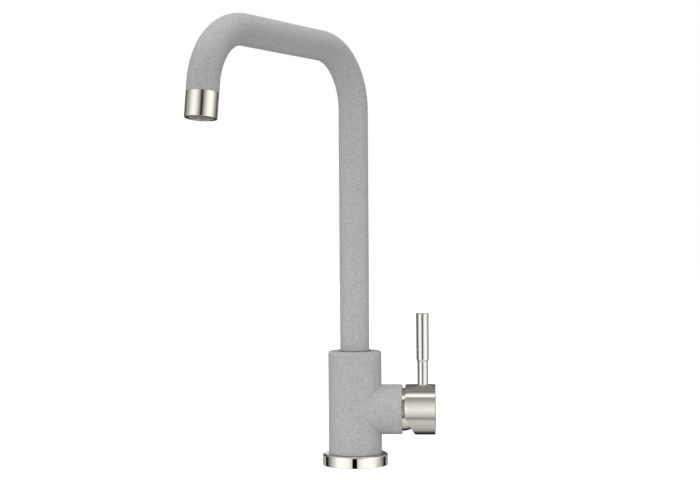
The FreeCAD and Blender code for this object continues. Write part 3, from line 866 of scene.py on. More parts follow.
def box_of(node: str) -> tuple[Vector, Vector]:
    """Lowest and highest corner of a CAD node in millimetres.

    Args:
        node: The node's name.

    Returns:
        Both corners.
    """
    low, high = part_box(node)
    return low / MM, high / MM


class ShapeTree:
    """A Geometry Nodes tree with named inputs, run once on an object and baked."""

    def __init__(self, name: str, sizes: Sizes, finish: Finish) -> None:
        """Makes the tree and its inputs.

        Args:
            name: The tree's name.
            sizes: Names and values of its inputs, in metres and counts.
            finish: The finish that its Set Material node gives.
        """
        self.tree = bpy.data.node_groups.new(name, "GeometryNodeTree")
        self.sizes = sizes
        self.finish = finish
        face = self.tree.interface
        face.new_socket("Geometry", in_out="INPUT", socket_type="NodeSocketGeometry")
        face.new_socket("Geometry", in_out="OUTPUT", socket_type="NodeSocketGeometry")
        for key, value in sizes.items():
            kind = {int: "NodeSocketInt", float: "NodeSocketFloat"}.get(type(value), "NodeSocketVector")
            face.new_socket(key, in_out="INPUT", socket_type=kind)
        self.graph = Graph(self.tree)
        self.entry = self.tree.nodes.new("NodeGroupInput")

    def size(self, name: str) -> Signal:
        """An input of the tree by its name."""
        return Signal(self.graph, self.entry.outputs[name])

    def end(self, shape: Signal) -> None:
        """Closes the tree with real instances and the finish's material.

        Args:
            shape: The geometry.
        """
        real = self.graph.node("GeometryNodeRealizeInstances", None, {0: shape})
        painted = self.graph.node("GeometryNodeSetMaterial", None, {
            "Geometry": real, "Material": self.finish.material()})
        self.graph.node("NodeGroupOutput", None, {0: painted})

    def run(self, piece: MeshObject) -> MeshObject:
        """Runs the tree on an object and keeps the resulting mesh.

        Args:
            piece: The object whose mesh the tree starts from.

        Returns:
            The same object.
        """
        step = piece.modifiers.new(self.tree.name, "NODES")
        step.node_group = self.tree
        for item in self.tree.interface.items_tree:
            if item.in_out == "INPUT" and item.name in self.sizes:
                value = self.sizes[item.name]
                step[item.identifier] = tuple(value) if isinstance(value, Vector) else value
        return bake_shape(piece)


def empty_object(name: str) -> MeshObject:
    """An object with an empty mesh, for a tree that needs no start."""
    return named_object(name, bpy.data.meshes.new(name))


@dataclass(frozen=True)
class ThreadedHole:
    """Sizes of a blind threaded hole, whose thread starts a little way in from the mouth."""

    radius: float
    depth: float
    pitch: float
    start: float

    @property
    def turns(self) -> float:
        """Turns of the thread, which ends as far from the floor as it starts from the mouth."""
        return (self.depth - 2 * self.start) / self.pitch


def helical_ridge(name: str, mouth: Vector, hole: ThreadedHole, height: float,
                  finish: Finish) -> MeshObject:
    """The ridge of an inside thread, as one closed coil on the wall of an upright hole.

    Args:
        name: Name of the piece.
        mouth: Centre of the hole's mouth, in millimetres.
        hole: The hole's sizes.
        height: How far the ridge stands into the hole.
        finish: The finish of the ridge.

    Returns:
        The piece.
    """
    foot = mouth + UP * hole.start
    sizes = {"Radius": hole.radius * MM, "Pitch": hole.pitch * MM, "Ridge": height * MM,
             "Turns": hole.turns, "Foot": foot * MM, "Steps Per Turn": THREAD_STEPS_PER_TURN}
    shape = ShapeTree(f"{name}_tree", sizes, finish)
    graph = shape.graph
    coil = graph.node("GeometryNodeCurveSpiral", None, {
        "Resolution": shape.size("Steps Per Turn"), "Rotations": shape.size("Turns"),
        "Start Radius": shape.size("Radius"), "End Radius": shape.size("Radius"),
        "Height": shape.size("Pitch") * shape.size("Turns")})
    upright = graph.node("GeometryNodeSetCurveNormal", {"mode": "Z_UP"}, {0: coil})
    section = graph.node("GeometryNodeCurvePrimitiveCircle", {"mode": "RADIUS"}, {
        "Resolution": THREAD_RIDGE_CORNERS, "Radius": shape.size("Ridge")})
    ridge = graph.node("GeometryNodeCurveToMesh", None, {0: upright, 1: section, "Fill Caps": True})
    placed = graph.node("GeometryNodeTransform", None, {0: ridge, "Translation": shape.size("Foot")})
    shape.end(placed)
    return shape.run(empty_object(name))


@dataclass
class BaseAssembly:
    """Cast body with its foot ring, the ring in its mouth and the threads of its underside."""

    coat_edge: float = 0.45
    top_edge: float = 2.0
    foot_edge: float = 0.8
    branch_edge: float = 0.8
    branch_radius: float = 21.1
    foot_recess: float = 1.0
    foot_radius: float = 20.0
    ring_edge: float = 1.5
    ring_foot_edge: float = 0.4
    seal_width: float = 3.6
    socket_radius: float = 13.5
    socket_floor: float = 67.0
    mouth_chamfer: float = 0.5
    bearing_gap: float = 0.08
    # The lip stands above the body's top so that its dark plastic shows as painted shade in the gap
    # round the spout
    painted_shade_lip_height: float = 0.3
    lip_edge: float = 0.15
    chamber_radius: float = 17.7
    chamber_depth: float = 31.0
    mouth_radius: float = 18.0
    mouth_depth: float = 5.6
    inlet_hole: ThreadedHole = ThreadedHole(radius=5.0, depth=13.0, pitch=1.0, start=1.0)
    stud_hole: ThreadedHole = ThreadedHole(radius=4.0, depth=12.0, pitch=1.25, start=1.2)
    waterway_radius: float = 3.5
    waterway_top: float = 51.0
    waterway_segments: int = 32
    thread_ridge: float = 0.42
    cutter_over: float = 2.0
    screw_hole_inset: float = 1.0

    def build(self) -> None:
        """Builds and dresses the whole sub-assembly."""
        self.upright = Place(Vector(), UP, OUT)
        low, high = box_of("mixer_body")
        pin_low, pin_high = box_of("spindle_pin")
        self.top = high.z
        self.column_radius = -low.x
        self.branch = Place(Vector((high.x, 0, (pin_low.z + pin_high.z) / 2)), OUT, UP)
        self.ring_high = box_of("base_ring")[1]
        dress(self.cast_body(), COAT, Body.TAP, ["mixer_body"])
        dress(self.foot_ring(), POLISHED, Body.TAP, ["base_ring"])
        dress(self.mouth_ring(), DARK_PLASTIC, Body.TAP, ["upper_bearing"])
        for thread in self.threads():
            dress(smooth(thread, COARSE_SHARP_EDGE_DEG), COAT, Body.TAP)

    def cast_body(self) -> MeshObject:
        """Column and branch as one casting, with socket, chamber and the holes of the underside.

        Returns:
            The piece.
        """
        ring_top = self.ring_high.z
        column = turned("cast_body", [
            (self.foot_recess, 0, 0),
            (self.foot_recess, self.foot_radius, self.coat_edge),
            (ring_top, self.foot_radius, 0),
            (ring_top, self.column_radius, self.foot_edge),
            (self.top, self.column_radius, self.top_edge),
            (self.top, 0, 0),
        ], self.upright)
        branch = turned("branch", [
            (-self.branch.origin.x, 0, 0),
            (-self.branch.origin.x, self.branch_radius, 0),
            (0, self.branch_radius, self.branch_edge),
            (0, 0, 0),
        ], self.branch)
        combine(column, [branch], Cut.JOIN)
        return smooth(combine(column, self.body_cutters(), Cut.REMOVE))

    def body_cutters(self) -> list[MeshObject]:
        """Everything that is machined out of the casting.

        Returns:
            The cutters.
        """
        over = self.cutter_over
        socket = turned("cutter", [
            (self.socket_floor, 0, 0),
            (self.socket_floor, self.socket_radius, 0),
            (self.top - self.mouth_chamfer, self.socket_radius, 0),
            (self.top + over, self.socket_radius + self.mouth_chamfer + over, 0),
            (self.top + over, 0, 0),
        ], self.upright)
        chamber = turned("cutter", [
            (-self.chamber_depth, 0, 0),
            (-self.chamber_depth, self.chamber_radius, 0),
            (-self.mouth_depth, self.chamber_radius, 0),
            (-self.mouth_depth, self.mouth_radius, 0),
            (over, self.mouth_radius, 0),
            (over, 0, 0),
        ], self.branch)
        screw_low, screw_high = box_of("spout_set_screw")
        screw_axis = Place(UP * (screw_low.z + screw_high.z) / 2, ACROSS, UP)
        screw_start = self.socket_radius - self.screw_hole_inset
        screw_radius = (screw_high.z - screw_low.z) / 2
        screw = drilled(screw_axis, screw_start, self.column_radius + over, screw_radius)
        cutters = [socket, chamber, screw]
        waterway = self.waterway_top - self.foot_recess
        for hole in self.inlets():
            cutters.append(drilled(hole, -over, self.inlet_hole.depth, self.inlet_hole.radius))
            cutters.append(drilled(hole, 0, waterway, self.waterway_radius, self.waterway_segments))
        cutters.append(drilled(self.stud(), -over, self.stud_hole.depth, self.stud_hole.radius))
        return cutters

    def mount_position(self, name: str) -> Vector:
        """Place of a mount of the record, at the mouth of its hole.

        Args:
            name: The mount's name.

        Returns:
            The place in millimetres.
        """
        mount = next(m for m in frame["record"]["mounts"] if m["name"] == name)
        x, y = mount["pos_m"][0] / MM, mount["pos_m"][1] / MM
        return Vector((x, y, self.foot_recess))

    def inlets(self) -> list[Place]:
        """Axes of the two inlet holes."""
        return [Place(self.mount_position(name), UP, OUT) for name in ("front_inlet", "rear_inlet")]

    def stud(self) -> Place:
        """Axis of the hole for the fixing stud."""
        return Place(self.mount_position("stud_thread"), UP, OUT)

    def foot_ring(self) -> MeshObject:
        """Bright ring under the body, with the groove of its seal.

        Returns:
            The piece.
        """
        seal_high = box_of("base_seal")[1]
        groove_inner = seal_high.x - self.seal_width
        return smooth(turned("foot_ring", [
            (0, self.foot_radius, 0),
            (0, groove_inner, 0),
            (seal_high.z, groove_inner, 0),
            (seal_high.z, seal_high.x, 0),
            (0, seal_high.x, 0),
            (0, self.ring_high.x, self.ring_foot_edge),
            (self.ring_high.z, self.ring_high.x, self.ring_edge),
            (self.ring_high.z, self.foot_radius, 0),
        ], self.upright))

    def mouth_ring(self) -> MeshObject:
        """Bearing in the socket's mouth, of its own dark plastic, with a thin lip raised above the
        body's top that shows round the spout as painted shade for the gap there.

        Returns:
            The piece.
        """
        low, high = box_of("upper_bearing")
        bore = box_of("spout_tube")[1].x + self.bearing_gap
        return smooth(turned("mouth_ring", [
            (low.z, bore, 0),
            (low.z, high.x, 0),
            (self.top + self.painted_shade_lip_height, high.x, self.lip_edge),
            (self.top + self.painted_shade_lip_height, bore, self.lip_edge),
        ], self.upright))

    def threads(self) -> list[MeshObject]:
        """Ridges of the threads in the three holes of the underside.

        Returns:
            The pieces.
        """
        holes = [(f"inlet_thread_{i}", place, self.inlet_hole)
                 for i, place in enumerate(self.inlets(), start=1)]
        holes.append(("stud_thread_ridge", self.stud(), self.stud_hole))
        return [helical_ridge(name, place.origin, hole, self.thread_ridge, COAT)
                for name, place, hole in holes]


@dataclass
class SpoutAssembly:
    """Bent tube and the aerator at its end."""

    azimuth_deg: float = 241.5
    wall: float = 1.5
    corner_height: float = 348.0
    corner_reach: float = 200.0
    bend_radius: float = 50.0
    arm_rise_deg: float = 1.0
    outlet_lean_deg: float = 7.0
    outlet_straight: float = 7.0
    tube_radius: float = 12.3
    tube_segments: int = 128
    bend_steps: int = 40
    sleeve_radius: float = 12.25
    sleeve_length: float = 19.4
    sleeve_edge: float = 0.4
    sleeve_rim: float = 0.3
    lip_radius: float = 9.3
    thread_radius: float = 11.0
    lip_start: float = 10.1
    cage_radius: float = 9.2
    cage_wall: float = 1.2
    cage_top: float = 8.7
    cage_rim: float = 10.9
    cage_recess: float = 0.4
    cage_outer_edge: float = 0.3
    cage_inner_edge: float = 0.2
    cage_segments: int = 96
    flange_height: float = 1.4
    jet_count: int = 10
    jet_ring: float = 6.4
    jet_radius: float = 0.6
    jet_segments: int = 20
    jet_over: float = 0.5
    web_count: int = 5
    web_width: float = 0.8
    web_depth: float = 2.6
    web_recess: float = 0.4
    web_step: float = 0.2

    def build(self) -> None:
        """Builds and dresses the whole sub-assembly."""
        self.route()
        dress(self.tube(), COAT, Body.SPOUT, ["spout_tube"])
        dress(self.sleeve(), SATIN, Body.SPOUT, ["aerator_housing"])
        # The insert takes the darker copy of the white plastic, as painted shade in the aerator's mouth
        dress(self.insert(), SHADED_CAGE_PLASTIC, Body.SPOUT, ["aerator_insert"])

    def route(self) -> None:
        """Works out the corners of the tube's centre line and the frame of its outlet."""
        azimuth = math.radians(self.azimuth_deg)
        away = Vector((math.cos(azimuth), math.sin(azimuth), 0))
        rise, lean = math.radians(self.arm_rise_deg), math.radians(self.outlet_lean_deg)
        arm = away * math.cos(rise) + UP * math.sin(rise)
        outlet = away * math.sin(lean) - UP * math.cos(lean)
        start = UP * box_of("spout_tube")[0].z
        first = UP * self.corner_height
        second = first + arm * (self.corner_reach / math.cos(rise))
        setback = self.bend_radius * math.tan(arm.angle(outlet) / 2)
        end = second + outlet * (setback + self.outlet_straight)
        self.corners = [start, first, second, end]
        side = Vector((-math.sin(azimuth), math.cos(azimuth), 0))
        self.outlet = Place(end, outlet, side)

    def tube(self) -> MeshObject:
        """Tube swept along its filleted centre line, with a real wall.

        Returns:
            The piece.
        """
        mesh = bpy.data.meshes.new("spout_pipe")
        edges = [(i, i + 1) for i in range(len(self.corners) - 1)]
        mesh.from_pydata([c * MM for c in self.corners], edges, [])
        sizes = {"Tube Radius": self.tube_radius * MM, "Bend Radius": self.bend_radius * MM,
                 "Bend Steps": self.bend_steps, "Round Steps": self.tube_segments}
        shape = ShapeTree("bent_tube", sizes, COAT)
        graph = shape.graph
        line = graph.node("GeometryNodeMeshToCurve", None, {0: Signal(graph, shape.entry.outputs[0])})
        bent = graph.node("GeometryNodeFilletCurve", {"mode": "POLY"}, {
            0: line, "Radius": shape.size("Bend Radius"), "Count": shape.size("Bend Steps")})
        section = graph.node("GeometryNodeCurvePrimitiveCircle", {"mode": "RADIUS"}, {
            "Resolution": shape.size("Round Steps"), "Radius": shape.size("Tube Radius")})
        shape.end(graph.node("GeometryNodeCurveToMesh", None, {0: bent, 1: section}))
        piece = shape.run(named_object("spout_pipe", mesh))
        self.face_outwards(piece)
        shell = piece.modifiers.new("wall", "SOLIDIFY")
        shell.thickness = self.wall * MM
        shell.offset = -1.0
        return smooth(bake_shape(piece))

    @staticmethod
    def face_outwards(piece: MeshObject) -> None:
        """Turns the faces of an open tube away from its axis.

        Args:
            piece: The tube, upright at its lower end.
        """
        shape = bmesh.new()
        shape.from_mesh(piece.data)
        lowest = min(shape.faces, key=lambda f: f.calc_center_median().z)
        centre = lowest.calc_center_median()
        if lowest.normal.dot(Vector((centre.x, centre.y, 0))) < 0:
            bmesh.ops.reverse_faces(shape, faces=shape.faces)
        shape.to_mesh(piece.data)
        shape.free()

    def sleeve(self) -> MeshObject:
        """Bright sleeve of the aerator.

        Returns:
            The piece.
        """
        return smooth(turned("aerator_sleeve", [
            (0, self.thread_radius, 0),
            (0, self.sleeve_radius, self.sleeve_rim),
            (self.sleeve_length, self.sleeve_radius, self.sleeve_edge),
            (self.sleeve_length, self.lip_radius, self.sleeve_rim),
            (self.lip_start, self.lip_radius, 0),
            (self.lip_start, self.thread_radius, 0),
        ], self.outlet))

    def insert(self) -> MeshObject:
        """Cage with its ring of jets and the grid of webs across its mouth.

        Returns:
            The piece.
        """
        mouth = self.sleeve_length - self.cage_recess
        floor = self.cage_top + self.flange_height
        bore = self.cage_radius - self.cage_wall
        cage = turned("aerator_cage", [
            (self.cage_top, 0, 0),
            (self.cage_top, self.cage_rim, 0),
            (floor, self.cage_rim, 0),
            (floor, self.cage_radius, 0),
            (mouth, self.cage_radius, self.cage_outer_edge),
            (mouth, bore, self.cage_inner_edge),
            (floor, bore, 0),
            (floor, 0, 0),
        ], self.outlet, self.cage_segments)
        combine(cage, [self.jets()], Cut.REMOVE)
        return smooth(combine(cage, self.webs(mouth), Cut.JOIN))

    def outlet_turn(self, spin: float = 0.0) -> Vector:
        """Rotation that turns the Z axis into the outlet's direction.

        Args:
            spin: Turn about the Z axis before it, in radians.

        Returns:
            The rotation as Euler angles.
        """
        other = self.outlet.axis.cross(self.outlet.side)
        columns = Matrix((self.outlet.side, other, self.outlet.axis)).transposed()
        return Vector((columns @ Matrix.Rotation(spin, 3, "Z")).to_euler())

    def jets(self) -> MeshObject:
        """Cutter for the jets: pins spaced evenly round a ring.

        Returns:
            The cutter.
        """
        middle = self.outlet.origin + self.outlet.axis * (self.cage_top + self.flange_height / 2)
        depth = self.flange_height + 2 * self.jet_over
        sizes = {"Count": self.jet_count, "Ring": self.jet_ring * MM, "Hole": self.jet_radius * MM,
                 "Depth": depth * MM, "Round Steps": self.jet_segments, "Place": middle * MM,
                 "Turn": self.outlet_turn()}
        shape = ShapeTree("jet_ring", sizes, SHADED_CAGE_PLASTIC)
        graph = shape.graph
        ring = graph.node("GeometryNodeMeshCircle", {"fill_type": "NONE"}, {
            "Vertices": shape.size("Count"), "Radius": shape.size("Ring")})
        pin = graph.node("GeometryNodeMeshCylinder", {"fill_type": "NGON"}, {
            "Vertices": shape.size("Round Steps"), "Radius": shape.size("Hole"),
            "Depth": shape.size("Depth")})
        pins = graph.node("GeometryNodeInstanceOnPoints", None, {"Points": ring, "Instance": pin})
        shape.end(graph.node("GeometryNodeTransform", None, {
            0: pins, "Translation": shape.size("Place"), "Rotation": shape.size("Turn")}))
        return shape.run(empty_object("cutter"))

    def webs(self, mouth: float) -> list[MeshObject]:
        """Parallel webs both ways, each as long as the cage's bore is wide there.

        The second webs are a step shallower, so that no faces of the two rows lie in one plane.

        Args:
            mouth: Station of the cage's open end.

        Returns:
            One object for each way.
        """
        reach = self.cage_radius - self.cage_wall / 2
        pitch = 2 * reach / (self.web_count + 1)
        station = mouth - self.web_recess - self.web_depth / 2
        middle = self.outlet.origin + self.outlet.axis * station
        rows = [("first_webs", 0.0, self.web_depth),
                ("second_webs", math.pi / 2, self.web_depth - self.web_step)]
        made = []
        for name, spin, depth in rows:
            sizes = {"Count": self.web_count, "Pitch": pitch * MM, "Reach": reach * MM,
                     "Width": self.web_width * MM, "Depth": depth * MM,
                     "Place": middle * MM, "Turn": self.outlet_turn(spin)}
            made.append(self.web_row(name, sizes))
        return made

    @staticmethod
    def web_row(name: str, sizes: Sizes) -> MeshObject:
        """One row of parallel webs within a circle.

        Args:
            name: Name of the object.
            sizes: Inputs of the tree.

        Returns:
            The object.
        """
        shape = ShapeTree(f"{name}_tree", sizes, SHADED_CAGE_PLASTIC)
        graph = shape.graph
        first = graph.node("ShaderNodeCombineXYZ", None, {
            "Y": (shape.size("Count") - 1) * shape.size("Pitch") * -0.5})
        stride = graph.node("ShaderNodeCombineXYZ", None, {"Y": shape.size("Pitch")})
        points = graph.node("GeometryNodeMeshLine", {"mode": "OFFSET"}, {
            "Count": shape.size("Count"), "Start Location": first, "Offset": stride})
        place = graph.node("GeometryNodeInputPosition")
        offset = graph.node("ShaderNodeSeparateXYZ", None, {0: place}, "Y")
        reach = shape.size("Reach")
        half = graph.maths("SQRT", reach * reach - offset * offset)
        length = graph.node("ShaderNodeCombineXYZ", None, {"X": half * 2, "Y": 1.0, "Z": 1.0})
        size = graph.node("ShaderNodeCombineXYZ", None, {
            "X": 1.0, "Y": shape.size("Width"), "Z": shape.size("Depth")})
        bar = graph.node("GeometryNodeMeshCube", None, {"Size": size})
        bars = graph.node("GeometryNodeInstanceOnPoints", None, {
            "Points": points, "Instance": bar, "Scale": length})
        shape.end(graph.node("GeometryNodeTransform", None, {
            0: bars, "Translation": shape.size("Place"), "Rotation": shape.size("Turn")}))
        return shape.run(empty_object(name))


@dataclass
class LeverAssembly:
    """Ball-shaped cover on the branch, and the lever: drum, rod and plug."""

    dome_wall: float = 1.3
    dome_steps: int = 16
    collar_radius: float = 15.6
    drum_bore: float = 19.0
    drum_edge: float = 0.8
    drum_segments: int = 256
    rim_width: float = 1.3
    rim_drop: float = 0.5
    rim_edge: float = 0.12
    boss_radius: float = 7.5
    boss_reach: float = 6.0
    solid_length: float = 9.0
    socket_half: float = 4.05
    socket_edge: float = 0.5
    rod_boss_radius: float = 5.5
    relief_deg: float = 27.0
    relief_height: float = 4.51
    screw_radius: float = 2.5
    screw_start: float = 4.0
    screw_segments: int = 64
    plug_edge: float = 0.25
    spot_radius: float = 4.85
    spot_depth: float = 1.0
    rod_radius: float = 5.275
    rod_edge: float = 1.0
    rod_segments: int = 96
    neck_radius: float = 4.5
    step_bottom: float = 40.2
    step_top: float = 42.1
    stud_radius: float = 3.0
    stud_edge: float = 0.4
    cutter_over: float = 2.0
    overlap: float = 1.0

    def build(self) -> None:
        """Builds and dresses the whole sub-assembly."""
        pin_low, pin_high = box_of("spindle_pin")
        branch_end = box_of("mixer_body")[1].x
        height = (pin_low.z + pin_high.z) / 2
        self.branch = Place(Vector((branch_end, 0, height)), OUT, UP)
        drum_low, drum_high = box_of("handle_cap")
        rod_low, rod_high = box_of("handle_rod")
        self.drum_start = drum_low.x - branch_end
        self.drum_end = drum_high.x - branch_end
        self.drum_radius = drum_high.z - height
        self.rod_bottom = rod_low.z - height
        self.rod_top = rod_high.z - height
        self.rod_axis = Place(Vector(((rod_low.x + rod_high.x) / 2, 0, height)), UP, OUT)
        self.socket_end = box_of("cartridge_spindle")[1].x - branch_end
        plug_low, plug_high = box_of("handle_plug")
        self.plug_axis = Place(Vector(((plug_low.x + plug_high.x) / 2, 0, height)), -UP, OUT)
        dress(self.dome(), COVER, Body.TAP, ["dome_cover"])
        dress(self.drum(), TURNED, Body.LEVER, ["handle_cap"])
        dress(self.rod(), ROD_PLATE, Body.LEVER, ["handle_rod"])
        plug = self.plug(height - plug_high.z, height - plug_low.z)
        dress(plug, GREY_PLASTIC, Body.LEVER, ["handle_plug"])

    def dome(self) -> MeshObject:
        """Thin ball-shaped cover, open in the middle.

        Returns:
            The piece.
        """
        high = box_of("dome_cover")[1]
        outer = high.y
        inner = outer - self.dome_wall
        reach = high.x - self.branch.origin.x
        inner_start = math.sqrt(inner ** 2 - self.collar_radius ** 2)
        outside = self.ball_arc(outer, 0.0, reach)
        inside = self.ball_arc(inner, reach, inner_start)
        outline = [(0.0, self.collar_radius), *outside, *inside]
        return smooth(turned_shape("dome_shell", outline, self.branch))

    def ball_arc(self, radius: float, start: float, end: float) -> list[Point]:
        """Outline of a ball between two stations.

        Args:
            radius: The ball's radius.
            start: First station from its centre.
            end: Last station.

        Returns:
            The outline's points.
        """
        first, last = math.asin(start / radius), math.asin(end / radius)
        angles = [first + (last - first) * k / self.dome_steps for k in range(self.dome_steps + 1)]
        return [(radius * math.sin(a), radius * math.cos(a)) for a in angles]

    def drum(self) -> MeshObject:
        """Drum of the lever, with its slanted relief, rod seat and screw hole.

        Returns:
            The piece.
        """
        solid_start = self.drum_end - self.solid_length
        boss_start = solid_start - self.boss_reach
        over = self.cutter_over
        drum = turned("lever_drum", [
            (boss_start, 0, 0),
            (boss_start, self.boss_radius, 0),
            (solid_start, self.boss_radius, 0),
            (solid_start, self.drum_bore, 0),
            (self.drum_start, self.drum_bore, 0),
            (self.drum_start, self.drum_radius - self.rim_drop, self.rim_edge),
            (self.drum_start + self.rim_width, self.drum_radius, self.rim_edge),
            (self.drum_end, self.drum_radius, self.drum_edge),
            (self.drum_end, 0, 0),
        ], self.branch, self.drum_segments)
        boss_low, boss_high = self.boss_radius - self.overlap, self.drum_bore + self.overlap
        rod_boss = drilled(self.rod_axis, boss_low, boss_high, self.rod_boss_radius)
        combine(drum, [rod_boss], Cut.JOIN)
        outside = self.drum_radius + over
        seat = self.drum_radius - self.spot_depth
        spot = drilled(self.rod_axis, seat, outside, self.spot_radius, self.rod_segments)
        stud_start = self.rod_bottom - self.overlap
        stud = drilled(self.rod_axis, stud_start, self.drum_radius, self.stud_radius)
        screw = drilled(self.plug_axis, self.screw_start, outside, self.screw_radius,
                        self.screw_segments)
        socket = self.spindle_socket(boss_start - over)
        return smooth(combine(drum, [self.relief(), socket, spot, stud, screw], Cut.REMOVE))

    def spindle_socket(self, start: float) -> MeshObject:
        """Cutter for the square socket that takes the spindle.

        Args:
            start: Station of its open end.

        Returns:
            The cutter.
        """
        half = self.socket_half
        side = half - self.socket_edge
        corners = [(half, -side), (half, side), (side, half), (-side, half),
                   (-half, side), (-half, -side), (-side, -half), (side, -half)]
        mouth = self.branch.origin + OUT * start
        return prism([mouth + ACROSS * y + UP * z for y, z in corners], OUT * (self.socket_end - start))

    def relief(self) -> MeshObject:
        """Cutter for the slanted lower inner edge of the drum, far larger than the drum itself.

        Returns:
            The cutter.
        """
        reach = 3 * self.drum_radius
        angle = math.radians(self.relief_deg)
        start, top = self.drum_start, -self.relief_height
        bottom = top - reach * math.cos(angle)
        stations = [
            (start, top),
            (start + reach * math.sin(angle), bottom),
            (start - reach, bottom),
            (start - reach, top),
        ]
        near = self.branch.origin - ACROSS * reach
        return prism([near + OUT * x + UP * z for x, z in stations], ACROSS * (2 * reach))

    def rod(self) -> MeshObject:
        """Stepped rod with the stud that it is screwed in by.

        Returns:
            The piece.
        """
        seat = self.drum_radius - self.spot_depth
        return smooth(turned("lever_rod", [
            (self.rod_bottom, 0, 0),
            (self.rod_bottom, self.stud_radius, self.stud_edge),
            (seat, self.stud_radius, 0),
            (seat, self.neck_radius, 0),
            (self.step_bottom, self.neck_radius, 0),
            (self.step_top, self.rod_radius, 0),
            (self.rod_top, self.rod_radius, self.rod_edge),
            (self.rod_top, 0, 0),
        ], self.rod_axis, self.rod_segments))

    def plug(self, start: float, end: float) -> MeshObject:
        """Small plug over the grub screw, with a fine rounded edge.

        Args:
            start: Its inner end below the branch's axis.
            end: Its outer end below the branch's axis.

        Returns:
            The piece.
        """
        return smooth(turned("screw_plug", [
            (start, 0, 0),
            (start, self.screw_radius, 0),
            (end, self.screw_radius, self.plug_edge),
            (end, 0, 0),
        ], self.plug_axis, HOLE_SEGMENTS), COARSE_SHARP_EDGE_DEG)


@dataclass
class CadPieces:
    """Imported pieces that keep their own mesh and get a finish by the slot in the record."""

    finishes: dict[str, Finish] = field(default_factory=lambda: {
        f.slot.value: f for f in (COAT, POLISHED, TURNED, RUBBER, DARK_PLASTIC, WHITE_PLASTIC,
                                  GREY_PLASTIC, CERAMIC, STEEL, BRASS)})

    def build(self) -> None:
        """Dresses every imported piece."""
        slots = {part["node"]: part["material_slot"] for part in frame["record"]["subparts"]}
        for name, node in sorted(frame["nodes"].items()):
            finish = self.finishes[slots[name]]
            give_finish(node, finish)
            log.info("%s: packed piece, %s", name, finish.name)


@dataclass(frozen=True)
class SoftLamp:
    """A large square lamp, with its sizes and its aim in metres.

    Its share is the brightness that it alone gives to white facing it.
    """

    name: str
    towards: tuple[float, float, float]
    share: float
    distance: float = 4.0
    size: float = 2.6
    spread_deg: float = 180.0
    aim: tuple[float, float, float] = (0.0, 0.0, 0.18)

    def build(self) -> None:
        """Hangs the lamp and turns it to its aim."""
        lamp = bpy.data.lights.new(self.name, "AREA")
        lamp.shape = "SQUARE"
        lamp.size = self.size
        lamp.spread = math.radians(self.spread_deg)
        lamp.energy = self.share * math.pi ** 2 * self.distance ** 2
        made = bpy.data.objects.new(self.name, lamp)
        bpy.context.scene.collection.objects.link(made)
        back = Vector(self.towards).normalized()
        made.location = Vector(self.aim) + back * self.distance
        made.rotation_mode = "QUATERNION"
        made.rotation_quaternion = back.to_track_quat("Z", "Y")
        made.visible_glossy = False


